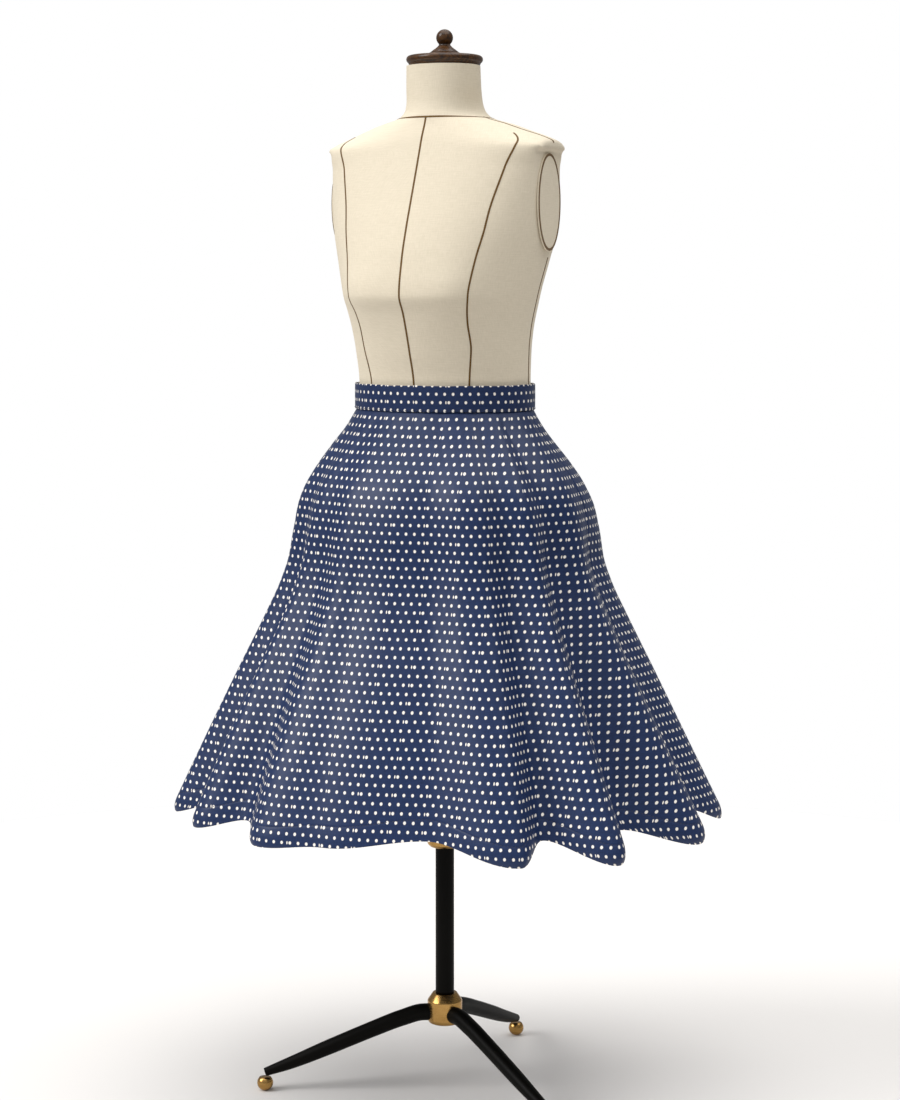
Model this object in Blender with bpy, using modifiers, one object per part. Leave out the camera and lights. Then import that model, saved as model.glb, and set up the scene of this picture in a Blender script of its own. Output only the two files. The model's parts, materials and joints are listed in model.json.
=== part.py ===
"""Circle skirt worn on a limbless dress form with a three-legged stand.

Units are metres. +Z is up, the floor is z = 0 and the pole stands on the Z axis.
The figure faces -Y, so +X is the figure's left side. A bearing is an angle round
the pole in degrees: 0 is the centre front, 90 the figure's left, 180 the centre back.
"""

import math
from collections import namedtuple

import bmesh
import bpy
import numpy as np
from mathutils import Matrix, Vector

# ---------------------------------------------------------------- driving sizes
GAP = 0.0003  # between pieces that touch or are sewn together
CLOTH = 0.0020  # wall of the skirt panels

BAND_TOP = 0.983
BAND_BOTTOM = 0.9493
BAND_WALL = 0.0022
BAND_OVERLAP = 17.0  # degrees of bearing that the fastened end laps over
BAND_RISE = 18.0  # degrees of bearing over which it climbs onto the other end

SKIRT_TOP = 0.949
HIP_HEIGHT = 0.800  # where the folds have their full hip depth
HEM_HEIGHT = 0.404
COLUMNS_PER_FOLD_LINE = 4

ZIP_BEARING = 180.0
ZIP_LENGTH = 0.190
ZIP_TAPE_WIDTH = 0.026
ZIP_TAPE_WALL = 0.0009
ZIP_TAPE_TOP = 0.004  # below the skirt's top edge

SLIDER_DROP = 0.011  # middle of the slider below the skirt's top edge
SLIDER = Vector((0.0075, 0.0105, 0.0024))  # across, along the zip, out of the cloth
BRIDGE_RADIUS = 0.0032
BRIDGE_WIRE = 0.0007
TAB_AXIS_HEIGHT = 0.00120  # of the tab's bar over the slider
TAB_WIDTH = 0.0070
TAB_LENGTH = 0.0240
TAB_WALL = 0.0011
TAB_BAR = 0.0012
TAB_SLOT = (0.0030, 0.0050)

BUTTON_RADIUS = 0.0075
BUTTON_WALL = 0.0028
BUTTON_BEARING = 188.5

TORSO_SIDES = 48
TORSO_RINGS = 34
ARM_PLANE = 0.1503  # half width at which the sides are cut flat for the arm plates
ARM_PLANE_TOP = 1.292
SHOULDER_PLANE = 0.1580  # half width at the squared ends of the shoulders
ARM_PLATE_WALL = 0.0024
ARM_PLATE_CENTRE = (0.001, 1.2255)  # y, z
ARM_PLATE_RADII = (0.0375, 0.0640)  # along y, along z
BUST_BEARING = 30.0
BUST_HEIGHT = 1.106
BUST_RISE = 0.007
BUST_SPREAD = (17.0, 0.04)  # degrees of bearing, metres of height

NECK_CAP_BOTTOM = 1.4086
BASE_PLATE_TOP = 0.6547
BASE_PLATE_WALL = 0.0140
BASE_PLATE_INSET = 0.004  # inside the form's outline
SOCKET_RADIUS = 0.0205
SOCKET_FLANGE = (0.0435, 0.0050)  # radius, thickness
SOCKET_BOTTOM = 0.6050

ROD_RADIUS = 0.0098
ROD_BOTTOM = 0.2400
TUBE_RADIUS = 0.0129
TUBE_BORE = 0.0101
TUBE_TOP = 0.3647
COLLAR_BOTTOM = 0.3390
COLLAR_TOP = 0.3830
HUB_RADIUS = 0.0242
HUB_BOTTOM = 0.0900
HUB_TOP = 0.1340
CHAMFER = (0.0075, 0.0110)  # inwards, upwards

FOOT_RADIUS = 0.0112
FOOT_CENTRE = 0.0108  # a little under the ball's radius, so that it stands on a flat
FOOT_CUT = 0.0186  # the leg sits on this flat
FOOT_REACH = 0.2516
LEG_BEARINGS = {"leg_front_left": -30.0, "leg_front_right": 210.0, "leg_back": 90.0}

# ---------------------------------------------------------------- section tables
Section = namedtuple("Section", "height half_width front back fullness set_back")

# Outer face of the skirt between its folds, from the band down to the hem.
SKIRT_SECTIONS = [
    Section(0.949, 0.1245, 0.1005, 0.1000, 2.0, 0.000),
    Section(0.925, 0.1355, 0.1170, 0.1170, 2.0, -0.003),
    Section(0.900, 0.1520, 0.1375, 0.1360, 2.0, -0.006),
    Section(0.875, 0.1690, 0.1565, 0.1550, 2.0, -0.006),
    Section(0.850, 0.1835, 0.1720, 0.1720, 2.0, -0.006),
    Section(0.820, 0.1945, 0.1825, 0.1865, 2.0, -0.003),
    Section(0.790, 0.1990, 0.1890, 0.1935, 2.0, 0.000),
    Section(0.755, 0.2010, 0.1935, 0.1985, 2.0, 0.000),
    Section(0.720, 0.2095, 0.2005, 0.2070, 2.0, 0.000),
    Section(0.680, 0.2250, 0.2125, 0.2210, 2.0, 0.000),
    Section(0.600, 0.2580, 0.2430, 0.2520, 2.0, 0.000),
    Section(0.500, 0.2980, 0.2790, 0.2910, 2.0, 0.000),
    Section(0.404, 0.3370, 0.3070, 0.3260, 2.0, 0.000),
]

BAND = Section(BAND_TOP, 0.1265, 0.1030, 0.1020, 2.0, 0.0)

# Surface of the dress form, from the neck down to the base inside the skirt.
TORSO_SECTIONS = [
    Section(1.4083, 0.0495, 0.0495, 0.0495, 2.0, -0.006),
    Section(1.3800, 0.0503, 0.0503, 0.0503, 2.0, -0.004),
    Section(1.3620, 0.0510, 0.0515, 0.0515, 2.0, 0.000),
    Section(1.3500, 0.0535, 0.0540, 0.0545, 2.0, 0.003),
    Section(1.3400, 0.0620, 0.0580, 0.0600, 2.0, 0.006),
    Section(1.3290, 0.0985, 0.0620, 0.0680, 2.1, 0.006),
    Section(1.3210, 0.1200, 0.0660, 0.0730, 2.2, 0.008),
    Section(1.3130, 0.1420, 0.0700, 0.0775, 2.3, 0.012),
    Section(1.3050, 0.1600, 0.0735, 0.0810, 2.4, 0.009),
    Section(1.2970, 0.1720, 0.0765, 0.0840, 2.4, 0.004),
    Section(1.2700, 0.1620, 0.0870, 0.0920, 2.4, 0.003),
    Section(1.2300, 0.1590, 0.1030, 0.1020, 2.3, 0.004),
    Section(1.1900, 0.1550, 0.1190, 0.1070, 2.2, 0.005),
    Section(1.1500, 0.1455, 0.1320, 0.1070, 2.1, 0.000),
    Section(1.1030, 0.1350, 0.1400, 0.1030, 2.0, -0.006),
    Section(1.0600, 0.1260, 0.1240, 0.0970, 2.0, -0.005),
    Section(1.0300, 0.1225, 0.1100, 0.0940, 2.0, -0.003),
    Section(0.9850, 0.1205, 0.0965, 0.0935, 2.0, 0.000),
    Section(0.9450, 0.1205, 0.0950, 0.0945, 2.0, 0.000),
    Section(0.9200, 0.1285, 0.1010, 0.1030, 2.0, 0.000),
    Section(0.8900, 0.1410, 0.1090, 0.1130, 2.0, 0.000),
    Section(0.8400, 0.1560, 0.1160, 0.1230, 2.0, 0.000),
    Section(0.7800, 0.1650, 0.1180, 0.1240, 2.0, 0.000),
    Section(0.7200, 0.1620, 0.1130, 0.1180, 2.0, 0.000),
    Section(0.6550, 0.1480, 0.1010, 0.1040, 2.0, 0.000),
]

# The lines that the folds run along, each a crest or a valley, in order of bearing.
# Bearings are in degrees, reaches in millimetres out from the sections above.
FoldLine = namedtuple("FoldLine", "name hip_bearing hem_bearing hip_reach hem_reach hem_height")
FOLD_LINES = [
    FoldLine("front valley", 17, 20, 0, -1, 0.424),
    FoldLine("front crest", 38, 39, 26, 56, 0.397),
    FoldLine("front left valley", 47, 47, 16, 11, 0.422),
    FoldLine("front left crest", 55, 58, 30, 84, 0.396),
    FoldLine("left hip valley", 65, 67, 12, 4, 0.422),
    FoldLine("left hip crest", 77, 82, 22, 70, 0.396),
    FoldLine("left side seam", 90, 95, 12, 10, 0.420),
    FoldLine("left side crest", 103, 108, 14, 52, 0.393),
    FoldLine("left back valley", 118, 121, 4, 0, 0.418),
    FoldLine("left back crest", 132, 134, 10, 44, 0.397),
    FoldLine("back left valley", 146, 147, 2, -2, 0.418),
    FoldLine("back left crest", 160, 160, 8, 33, 0.399),
    FoldLine("centre back seam", 180, 180, 0, 2, 0.414),
    FoldLine("back right crest", 201, 203, 9, 38, 0.398),
    FoldLine("back right valley", 215, 216, 0, -4, 0.419),
    FoldLine("right back crest", 229, 229, 11, 48, 0.397),
    FoldLine("right back valley", 242, 242, 2, -2, 0.418),
    FoldLine("right side crest", 255, 256, 12, 70, 0.397),
    FoldLine("right side seam", 268, 268, 2, 0, 0.416),
    FoldLine("right hip crest", 280, 281, 10, 40, 0.397),
    FoldLine("right hip valley", 292, 291, 2, 4, 0.412),
    FoldLine("right front crest", 303, 299, 10, 49, 0.398),
    FoldLine("right front valley", 312, 308, 0, 4, 0.415),
    FoldLine("front right crest", 321, 317, 6, 46, 0.400),
    FoldLine("front right valley", 331, 329, 0, -2, 0.418),
    FoldLine("front panel crest", 342, 340, 5, 38, 0.403),
    FoldLine("front panel flat", 353, 356, 2, 16, 0.403),
]
LINE_NUMBER = {line.name: number for number, line in enumerate(FOLD_LINES)}

# Each panel runs from one seam line round to another; whole turns count on past the last line.
PANELS = {
    "skirt_front": ("right side seam", "left side seam"),
    "skirt_back_left": ("left side seam", "centre back seam"),
    "skirt_back_right": ("centre back seam", "right side seam"),
}

# Middle line and radius of a leg, from the hub out to its foot.
LegPoint = namedtuple("LegPoint", "reach height radius")
LEG_POINTS = [
    LegPoint(0.0140, 0.1060, 0.0117),
    LegPoint(0.0300, 0.1060, 0.0117),
    LegPoint(0.0600, 0.0985, 0.0114),
    LegPoint(0.1000, 0.0838, 0.0110),
    LegPoint(0.1600, 0.0600, 0.0105),
    LegPoint(0.2150, 0.0382, 0.0086),
    LegPoint(0.2516, 0.0256, 0.0058),
]


# ---------------------------------------------------------------- scene and materials
def clear_scene():
    for old in list(bpy.data.objects):
        bpy.data.objects.remove(old, do_unlink=True)


def collection(name):
    found = bpy.data.collections.new(name)
    bpy.context.scene.collection.children.link(found)
    return found


def material(name, red, green, blue, roughness, metallic=0.0):
    made = bpy.data.materials.new(name)
    made.use_nodes = True
    shader = made.node_tree.nodes["Principled BSDF"]
    shader.inputs["Base Color"].default_value = (red, green, blue, 1.0)
    shader.inputs["Roughness"].default_value = roughness
    shader.inputs["Metallic"].default_value = metallic
    return made


def add_object(name, mesh, finish, smooth=True):
    placed = bpy.data.objects.new(name, mesh)
    mesh.materials.append(finish)
    if smooth:
        mesh.shade_smooth()
        mesh.set_sharp_from_angle(angle=math.radians(35))
    PARTS.objects.link(placed)
    return placed


def mesh_from_bmesh(name, shape):
    bmesh.ops.recalc_face_normals(shape, faces=shape.faces)
    mesh = bpy.data.meshes.new(name)
    shape.to_mesh(mesh)
    shape.free()
    return mesh


def evaluated_mesh(source, merge=0.00001):
    """The object's mesh after its modifiers or curve bevel, with its caps welded on."""
    graph = bpy.context.evaluated_depsgraph_get()
    mesh = bpy.data.meshes.new_from_object(source.evaluated_get(graph))
    shape = bmesh.new()
    shape.from_mesh(mesh)
    bmesh.ops.remove_doubles(shape, verts=shape.verts, dist=merge)
    bmesh.ops.transform(shape, matrix=source.matrix_world, verts=shape.verts)
    shape.to_mesh(mesh)
    shape.free()
    return mesh


def turned(name, profile, finish, steps=28, closed=False):
    """A turned piece: (radius, height) points that run down the outer side, spun round Z."""
    mesh = bpy.data.meshes.new(name)
    points = [(radius, 0.0, height) for radius, height in profile]
    edges = [(number, number + 1) for number in range(len(points) - 1)]
    if closed:
        edges.append((len(points) - 1, 0))
    mesh.from_pydata(points, edges, [])
    piece = add_object(name, mesh, finish, smooth=False)
    screw = piece.modifiers.new("Turn", "SCREW")
    screw.steps = screw.render_steps = steps
    screw.use_merge_vertices = True
    screw.merge_threshold = 0.00002
    screw.use_smooth_shade = True
    return piece


def arc(centre, radius, start, end, count):
    """Points (r, z) on an arc of the turning plane, between two angles in degrees."""
    angles = np.radians(np.linspace(start, end, count))
    return [(centre[0] + radius * math.cos(a), centre[1] + radius * math.sin(a)) for a in angles]


# ---------------------------------------------------------------- smooth tables
def smooth_value(positions, values, where):
    """Read a table column between its rows, with no overshoot past them."""
    order = np.argsort(positions)
    x = np.array(positions, float)[order]
    y = np.array(values, float)[order]
    slopes = np.diff(y) / np.diff(x)
    tangents = np.zeros(len(x))
    for number in range(1, len(x) - 1):
        before, after = slopes[number - 1], slopes[number]
        if before * after > 0:
            tangents[number] = 2 * before * after / (before + after)
    tangents[0], tangents[-1] = slopes[0], slopes[-1]
    row = int(np.clip(np.searchsorted(x, where) - 1, 0, len(x) - 2))
    width = x[row + 1] - x[row]
    u = (where - x[row]) / width
    return float(
        y[row] * (1 + 2 * u) * (1 - u) ** 2
        + y[row + 1] * u * u * (3 - 2 * u)
        + tangents[row] * width * u * (1 - u) ** 2
        - tangents[row + 1] * width * u * u * (1 - u)
    )


def section_at(sections, height):
    heights = [row.height for row in sections]
    columns = zip(*[row[1:] for row in sections])
    return Section(height, *[smooth_value(heights, column, height) for column in columns])


def ring_radius(section, bearing):
    """Distance from the section's own middle to its outline at a bearing."""
    turn = math.radians(bearing)
    to_front = (1 + math.tanh(3 * math.cos(turn))) / 2
    front, back = section.front + section.set_back, section.back - section.set_back
    depth = back + (front - back) * to_front
    side = abs(math.sin(turn) / section.half_width) ** section.fullness
    fore = abs(math.cos(turn) / depth) ** section.fullness
    return (side + fore) ** (-1 / section.fullness)


def at_bearing(radius, bearing, height):
    turn = math.radians(bearing)
    return Vector((radius * math.sin(turn), -radius * math.cos(turn), height))


# ---------------------------------------------------------------- the skirt's form
def fold_line_at(number, drop):
    """Bearing, reach and hem height of a fold line; drop is 0 at the band and 1 at the hem."""
    turns, index = divmod(number, len(FOLD_LINES))
    line = FOLD_LINES[index]
    hip_drop = (SKIRT_TOP - HIP_HEIGHT) / (SKIRT_TOP - HEM_HEIGHT)
    below_hip = max(0.0, (drop - hip_drop) / (1 - hip_drop))
    onset = 1 - (1 - min(1.0, drop / hip_drop)) ** 2
    bearing = line.hip_bearing + (line.hem_bearing - line.hip_bearing) * below_hip
    reach = onset * (line.hip_reach + (line.hem_reach - line.hip_reach) * below_hip)
    return bearing + 360 * turns, reach / 1000, line.hem_height


def skirt_point(station, drop):
    """A point of the skirt's outer face; a station counts fold lines round the skirt."""
    number = math.floor(station)
    along = station - number
    first, second = fold_line_at(number, drop), fold_line_at(number + 1, drop)
    eased = (1 - math.cos(math.pi * along)) / 2
    bearing = first[0] + (second[0] - first[0]) * along
    reach = first[1] + (second[1] - first[1]) * eased
    hem_height = first[2] + (second[2] - first[2]) * eased
    section = section_at(SKIRT_SECTIONS, SKIRT_TOP - (SKIRT_TOP - HEM_HEIGHT) * drop)
    radius = ring_radius(section, bearing) + reach
    point = at_bearing(radius, bearing, SKIRT_TOP - (SKIRT_TOP - hem_height) * drop)
    point.y += section.set_back
    return point


def beside_skirt(station, drop, outwards):
    """A skirt point moved out of the cloth, square to it."""
    step = 0.01
    down = skirt_point(station, drop + step) - skirt_point(station, drop)
    round_it = skirt_point(station + step, drop) - skirt_point(station - step, drop)
    return skirt_point(station, drop) + down.cross(round_it).normalized() * outwards


def loft_sheet(name, rows):
    """An open sheet through rows of points, each row as long as the others."""
    shape = bmesh.new()
    grid = [[shape.verts.new(point) for point in row] for row in rows]
    for upper, lower in zip(grid, grid[1:]):
        for left in range(len(upper) - 1):
            shape.faces.new((upper[left], lower[left], lower[left + 1], upper[left + 1]))
    mesh = bpy.data.meshes.new(name)
    shape.to_mesh(mesh)
    shape.free()
    return mesh


def give_wall(piece, thickness):
    """Turn an open sheet into a wall that lies inside the sheet's outer face."""
    wall = piece.modifiers.new("Wall", "SOLIDIFY")
    wall.thickness = thickness
    wall.offset = -1.0
    wall.use_even_offset = True


def seam_stations(first_line, last_line):
    first, last = LINE_NUMBER[first_line], LINE_NUMBER[last_line]
    if last <= first:
        last += len(FOLD_LINES)
    return np.linspace(first, last, (last - first) * COLUMNS_PER_FOLD_LINE + 1)


def trimmed(row):
    """Pull a row's two ends back by half of the seam's gap."""
    for end, neighbour in ((0, 1), (-1, -2)):
        row[end] = row[end] + (row[neighbour] - row[end]).normalized() * GAP / 2
    return row


def skirt_drops():
    return [(SKIRT_TOP - row.height) / (SKIRT_TOP - HEM_HEIGHT) for row in SKIRT_SECTIONS]


def make_skirt(cloth):
    for name, seams in PANELS.items():
        stations = seam_stations(*seams)
        rows = [trimmed([skirt_point(s, drop) for s in stations]) for drop in skirt_drops()]
        give_wall(add_object(name, loft_sheet(name, rows), cloth), CLOTH)


def make_waistband(cloth):
    """One strip round the waist whose fastened end laps over the other at the back."""
    bearings = np.linspace(ZIP_BEARING, ZIP_BEARING + 360 + BAND_OVERLAP, 76)
    rows = []
    for height in (BAND_TOP, (BAND_TOP + BAND_BOTTOM) / 2, BAND_BOTTOM):
        row = []
        for bearing in bearings:
            climb = np.clip((bearing - ZIP_BEARING - 360 + BAND_RISE + 3) / BAND_RISE, 0, 1)
            lift = (BAND_WALL + 2 * GAP) * climb * climb * (3 - 2 * climb)
            row.append(at_bearing(ring_radius(BAND, bearing) + lift, bearing, height))
        rows.append(row)
    give_wall(add_object("waistband", loft_sheet("waistband", rows), cloth), BAND_WALL)


def make_button(finish):
    """A flat rimmed button, sewn through the lapped end of the band."""
    profile = [
        (0.0, BUTTON_WALL * 0.75),
        (BUTTON_RADIUS * 0.62, BUTTON_WALL * 0.75),
        (BUTTON_RADIUS * 0.74, BUTTON_WALL),
        (BUTTON_RADIUS * 0.90, BUTTON_WALL),
        (BUTTON_RADIUS, BUTTON_WALL * 0.72),
        (BUTTON_RADIUS, BUTTON_WALL * 0.28),
        (BUTTON_RADIUS * 0.90, 0.0),
        (0.0, 0.0),
    ]
    button = turned("button", profile, finish, steps=24)
    out = ring_radius(BAND, BUTTON_BEARING) + BAND_WALL + 4 * GAP
    button.location = at_bearing(out, BUTTON_BEARING, (BAND_TOP + BAND_BOTTOM) / 2)
    turn = math.radians(BUTTON_BEARING)
    outwards = Vector((math.sin(turn), -math.cos(turn), 0))
    button.rotation_euler = outwards.to_track_quat("Z", "Y").to_euler()


# ---------------------------------------------------------------- the zip
def zip_drop(below_top):
    """Drop of a point of the centre back seam, given how far it is below the band."""
    return below_top / (SKIRT_TOP - FOLD_LINES[LINE_NUMBER["centre back seam"]].hem_height)


def make_zip_tape(finish):
    """The woven tape with its closed coil, sewn behind the two back panels."""
    seam = LINE_NUMBER["centre back seam"]
    rows = []
    for below_top in np.linspace(ZIP_TAPE_TOP, ZIP_TAPE_TOP + ZIP_LENGTH, 10):
        drop = zip_drop(below_top)
        middle = skirt_point(seam, drop)
        degrees_per_line = fold_line_at(seam + 1, drop)[0] - fold_line_at(seam, drop)[0]
        half = math.degrees(ZIP_TAPE_WIDTH / 2 / Vector(middle[:2]).length) / degrees_per_line
        stations = seam + np.linspace(-half, half, 7)
        rows.append([beside_skirt(s, drop, -CLOTH - 3 * GAP) for s in stations])
    give_wall(add_object("zip_tape", loft_sheet("zip_tape", rows), finish), ZIP_TAPE_WALL)


def slider_frame():
    """Where the slider lies: its middle on the cloth, and a matrix of across, along and out."""
    seam = LINE_NUMBER["centre back seam"]
    middle = skirt_point(seam, zip_drop(SLIDER_DROP))
    along = (skirt_point(seam, zip_drop(SLIDER_DROP + 0.02)) - middle).normalized()
    out = Vector((1, 0, 0)).cross(along).normalized()
    if out.y < 0:
        out = -out
    across = along.cross(out).normalized()
    turn = Matrix((across, along, out)).transposed().to_4x4()
    return middle + out * 3 * GAP, turn


def make_slider(metal):
    """A zip slider with a wire bridge over it, which holds the pull tab."""
    origin, turn = slider_frame()
    place = Matrix.Translation(origin) @ turn
    block = bmesh.new()
    bmesh.ops.create_cube(block, size=1.0)
    size = Matrix.Diagonal((*SLIDER, 1.0))
    bmesh.ops.transform(block, matrix=size, verts=block.verts)
    bmesh.ops.translate(block, vec=(0, 0, SLIDER.z / 2), verts=block.verts)
    body = add_object("zip_slider", mesh_from_bmesh("zip_slider", block), metal)
    body.matrix_world = place
    edge = body.modifiers.new("Edge", "BEVEL")
    edge.width = 0.0008
    edge.segments = 2

    bridge = wire("bridge", arc((0, SLIDER.z - 0.0004), BRIDGE_RADIUS, 0, 180, 9), BRIDGE_WIRE)
    bridge.matrix_world = place
    bpy.context.view_layer.update()
    cutter = bpy.data.objects.new("bridge_join", evaluated_mesh(bridge))
    bpy.data.objects.remove(bridge, do_unlink=True)
    HELPERS.objects.link(cutter)
    as_helper(cutter)
    join = body.modifiers.new("Bridge", "BOOLEAN")
    join.operation = "UNION"
    join.object = cutter
    return origin, turn


def wire(name, path, radius):
    """A round wire through (along, out) points."""
    curve = bpy.data.curves.new(name, "CURVE")
    curve.dimensions = "3D"
    curve.bevel_depth = radius
    curve.bevel_resolution = 2
    curve.use_fill_caps = True
    spline = curve.splines.new("POLY")
    spline.points.add(len(path) - 1)
    for point, (along, out) in zip(spline.points, path):
        point.co = (0.0, along, out, 1.0)
    made = bpy.data.objects.new(name, curve)
    HELPERS.objects.link(made)
    return made


def as_helper(helper):
    helper.hide_render = True
    helper.display_type = "WIRE"


def make_tab(origin, turn, metal):
    """The pull tab: a rounded plate whose slot goes round the bridge, hinged on its bar."""
    curve = bpy.data.curves.new("zip_pull_tab", "CURVE")
    curve.dimensions = "2D"
    curve.fill_mode = "BOTH"
    curve.extrude = TAB_WALL / 2
    half, end = TAB_WIDTH / 2, TAB_LENGTH - TAB_WIDTH / 2
    neck = half * 0.82
    outline = [(-neck, -TAB_BAR / 2), (neck, -TAB_BAR / 2)]
    outline += arc((0, end), half, 0, 180, 9)
    slot_half, slot_end = TAB_SLOT[0] / 2, TAB_SLOT[1] - TAB_SLOT[0] / 2
    slot = [(-slot_half, TAB_BAR / 2), (slot_half, TAB_BAR / 2)]
    slot += arc((0, slot_end), slot_half, 0, 180, 7)
    for path in (outline, slot):
        spline = curve.splines.new("POLY")
        spline.points.add(len(path) - 1)
        spline.use_cyclic_u = True
        for point, (across, along) in zip(spline.points, path):
            point.co = (across, along, 0.0, 1.0)
    tab = bpy.data.objects.new("zip_pull_tab", curve)
    curve.materials.append(metal)
    PARTS.objects.link(tab)
    hinge = bpy.data.objects.new("zip_pull_hinge", None)
    PARTS.objects.link(hinge)
    out = turn.to_3x3() @ Vector((0, 0, 1))
    hinge.matrix_world = Matrix.Translation(origin + out * (SLIDER.z + TAB_AXIS_HEIGHT)) @ turn
    tab.parent = hinge
    return hinge


# ---------------------------------------------------------------- the dress form
def torso_point(bearing, height):
    section = section_at(TORSO_SECTIONS, height)
    radius = ring_radius(section, bearing)
    for side in (-BUST_BEARING, BUST_BEARING):
        apart = (bearing - side + 180) % 360 - 180
        across, up = apart / BUST_SPREAD[0], (height - BUST_HEIGHT) / BUST_SPREAD[1]
        radius += BUST_RISE * math.exp(-(across**2) - up**2)
    point = at_bearing(radius, bearing, height)
    point.y += section.set_back
    plane = ARM_PLANE if height <= ARM_PLANE_TOP else SHOULDER_PLANE
    point.x = max(-plane, min(plane, point.x))
    return point


def torso_heights():
    """The sections' own heights, with rings between those that lie far apart."""
    heights = [row.height for row in TORSO_SECTIONS]
    heights += [ARM_PLANE_TOP]
    while len(heights) < TORSO_RINGS:
        heights.sort(reverse=True)
        widest = max(range(len(heights) - 1), key=lambda n: heights[n] - heights[n + 1])
        heights.append((heights[widest] + heights[widest + 1]) / 2)
    return sorted(heights, reverse=True)


def make_torso(linen):
    shape = bmesh.new()
    bearings = [360 * step / TORSO_SIDES for step in range(TORSO_SIDES)]
    rings = [[shape.verts.new(torso_point(b, z)) for b in bearings] for z in torso_heights()]
    for upper, lower in zip(rings, rings[1:]):
        for left in range(TORSO_SIDES):
            right = (left + 1) % TORSO_SIDES
            shape.faces.new((upper[left], lower[left], lower[right], upper[right]))
    shape.faces.new(rings[0])
    shape.faces.new(rings[-1])
    add_object("form_torso", mesh_from_bmesh("form_torso", shape), linen)


def make_arm_plates(linen):
    """The flat oval plates that close the form's sides where arms would start."""
    for name, side in (("arm_plate_left", 1), ("arm_plate_right", -1)):
        shape = bmesh.new()
        bmesh.ops.create_cone(
            shape, cap_ends=True, segments=36, radius1=1.0, radius2=1.0, depth=ARM_PLATE_WALL
        )
        stretch = Matrix.Diagonal((*ARM_PLATE_RADII, 1.0, 1.0))
        bmesh.ops.transform(shape, matrix=stretch, verts=shape.verts)
        plate = add_object(name, mesh_from_bmesh(name, shape), linen)
        facing = Matrix(((0, 0, 1), (1, 0, 0), (0, 1, 0))).to_4x4()
        middle = side * (ARM_PLANE + GAP + ARM_PLATE_WALL / 2)
        plate.matrix_world = Matrix.Translation((middle, *ARM_PLATE_CENTRE)) @ facing


def make_neck_cap(wood):
    low = NECK_CAP_BOTTOM
    profile = [
        (0.0, low + 0.0178),
        (0.0130, low + 0.0178),
        (0.0180, low + 0.0150),
        (0.0300, low + 0.0136),
        (0.0440, low + 0.0134),
    ]
    profile += arc((0.0465, low + 0.0084), 0.0050, 90, -60, 7)
    profile += [(0.0470, low), (0.0, low)]
    turned("neck_cap", profile, wood)


def make_finial(wood):
    low = NECK_CAP_BOTTOM + 0.0178 + GAP
    ball = 0.0117
    profile = arc((0, low + 0.0085 + ball), ball, 90, -62, 9)
    profile += [(0.0052, low + 0.0065), (0.0080, low + 0.0022), (0.0115, low), (0.0, low)]
    profile[0] = (0.0, low + 0.0085 + 2 * ball)
    turned("finial", profile, wood, steps=22)


def make_base(wood, metal):
    """The board that closes the form below, and the socket that holds the rod."""
    section = section_at(TORSO_SECTIONS, TORSO_SECTIONS[-1].height)
    shape = bmesh.new()
    bmesh.ops.create_cone(
        shape, cap_ends=True, segments=40, radius1=1.0, radius2=1.0, depth=BASE_PLATE_WALL
    )
    across, deep = section.half_width - BASE_PLATE_INSET, section.front - BASE_PLATE_INSET
    stretch = Matrix.Diagonal((across, deep, 1.0, 1.0))
    bmesh.ops.transform(shape, matrix=stretch, verts=shape.verts)
    plate = add_object("form_base", mesh_from_bmesh("form_base", shape), wood)
    plate.location.z = BASE_PLATE_TOP - BASE_PLATE_WALL / 2
    top = BASE_PLATE_TOP - BASE_PLATE_WALL - GAP
    profile = [
        (0.0, top),
        (SOCKET_FLANGE[0], top),
        (SOCKET_FLANGE[0], top - SOCKET_FLANGE[1]),
        (SOCKET_RADIUS + 0.0015, top - SOCKET_FLANGE[1] - 0.0020),
        (SOCKET_RADIUS, SOCKET_BOTTOM),
        (0.0, SOCKET_BOTTOM),
    ]
    turned("rod_socket", profile, metal)


# ---------------------------------------------------------------- the stand
def make_pole(black, brass):
    rod = [
        (0.0, SOCKET_BOTTOM - GAP),
        (ROD_RADIUS, SOCKET_BOTTOM - GAP),
        (ROD_RADIUS, ROD_BOTTOM),
        (0.0, ROD_BOTTOM),
    ]
    turned("inner_rod", rod, black)
    tube = [
        (TUBE_BORE, TUBE_TOP),
        (TUBE_RADIUS, TUBE_TOP),
        (TUBE_RADIUS, HUB_TOP + GAP),
        (TUBE_BORE, HUB_TOP + GAP),
    ]
    turned("lower_tube", tube, black, closed=True)
    collar = [
        (TUBE_BORE, COLLAR_TOP),
        (HUB_RADIUS - CHAMFER[0], COLLAR_TOP),
        (HUB_RADIUS, COLLAR_TOP - CHAMFER[1]),
        (HUB_RADIUS, COLLAR_BOTTOM + 0.004),
        (HUB_RADIUS - 0.004, COLLAR_BOTTOM),
        (TUBE_RADIUS + GAP, COLLAR_BOTTOM),
        (TUBE_RADIUS + GAP, TUBE_TOP + GAP),
        (TUBE_BORE, TUBE_TOP + GAP),
    ]
    turned("collar", collar, brass, closed=True)


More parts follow.
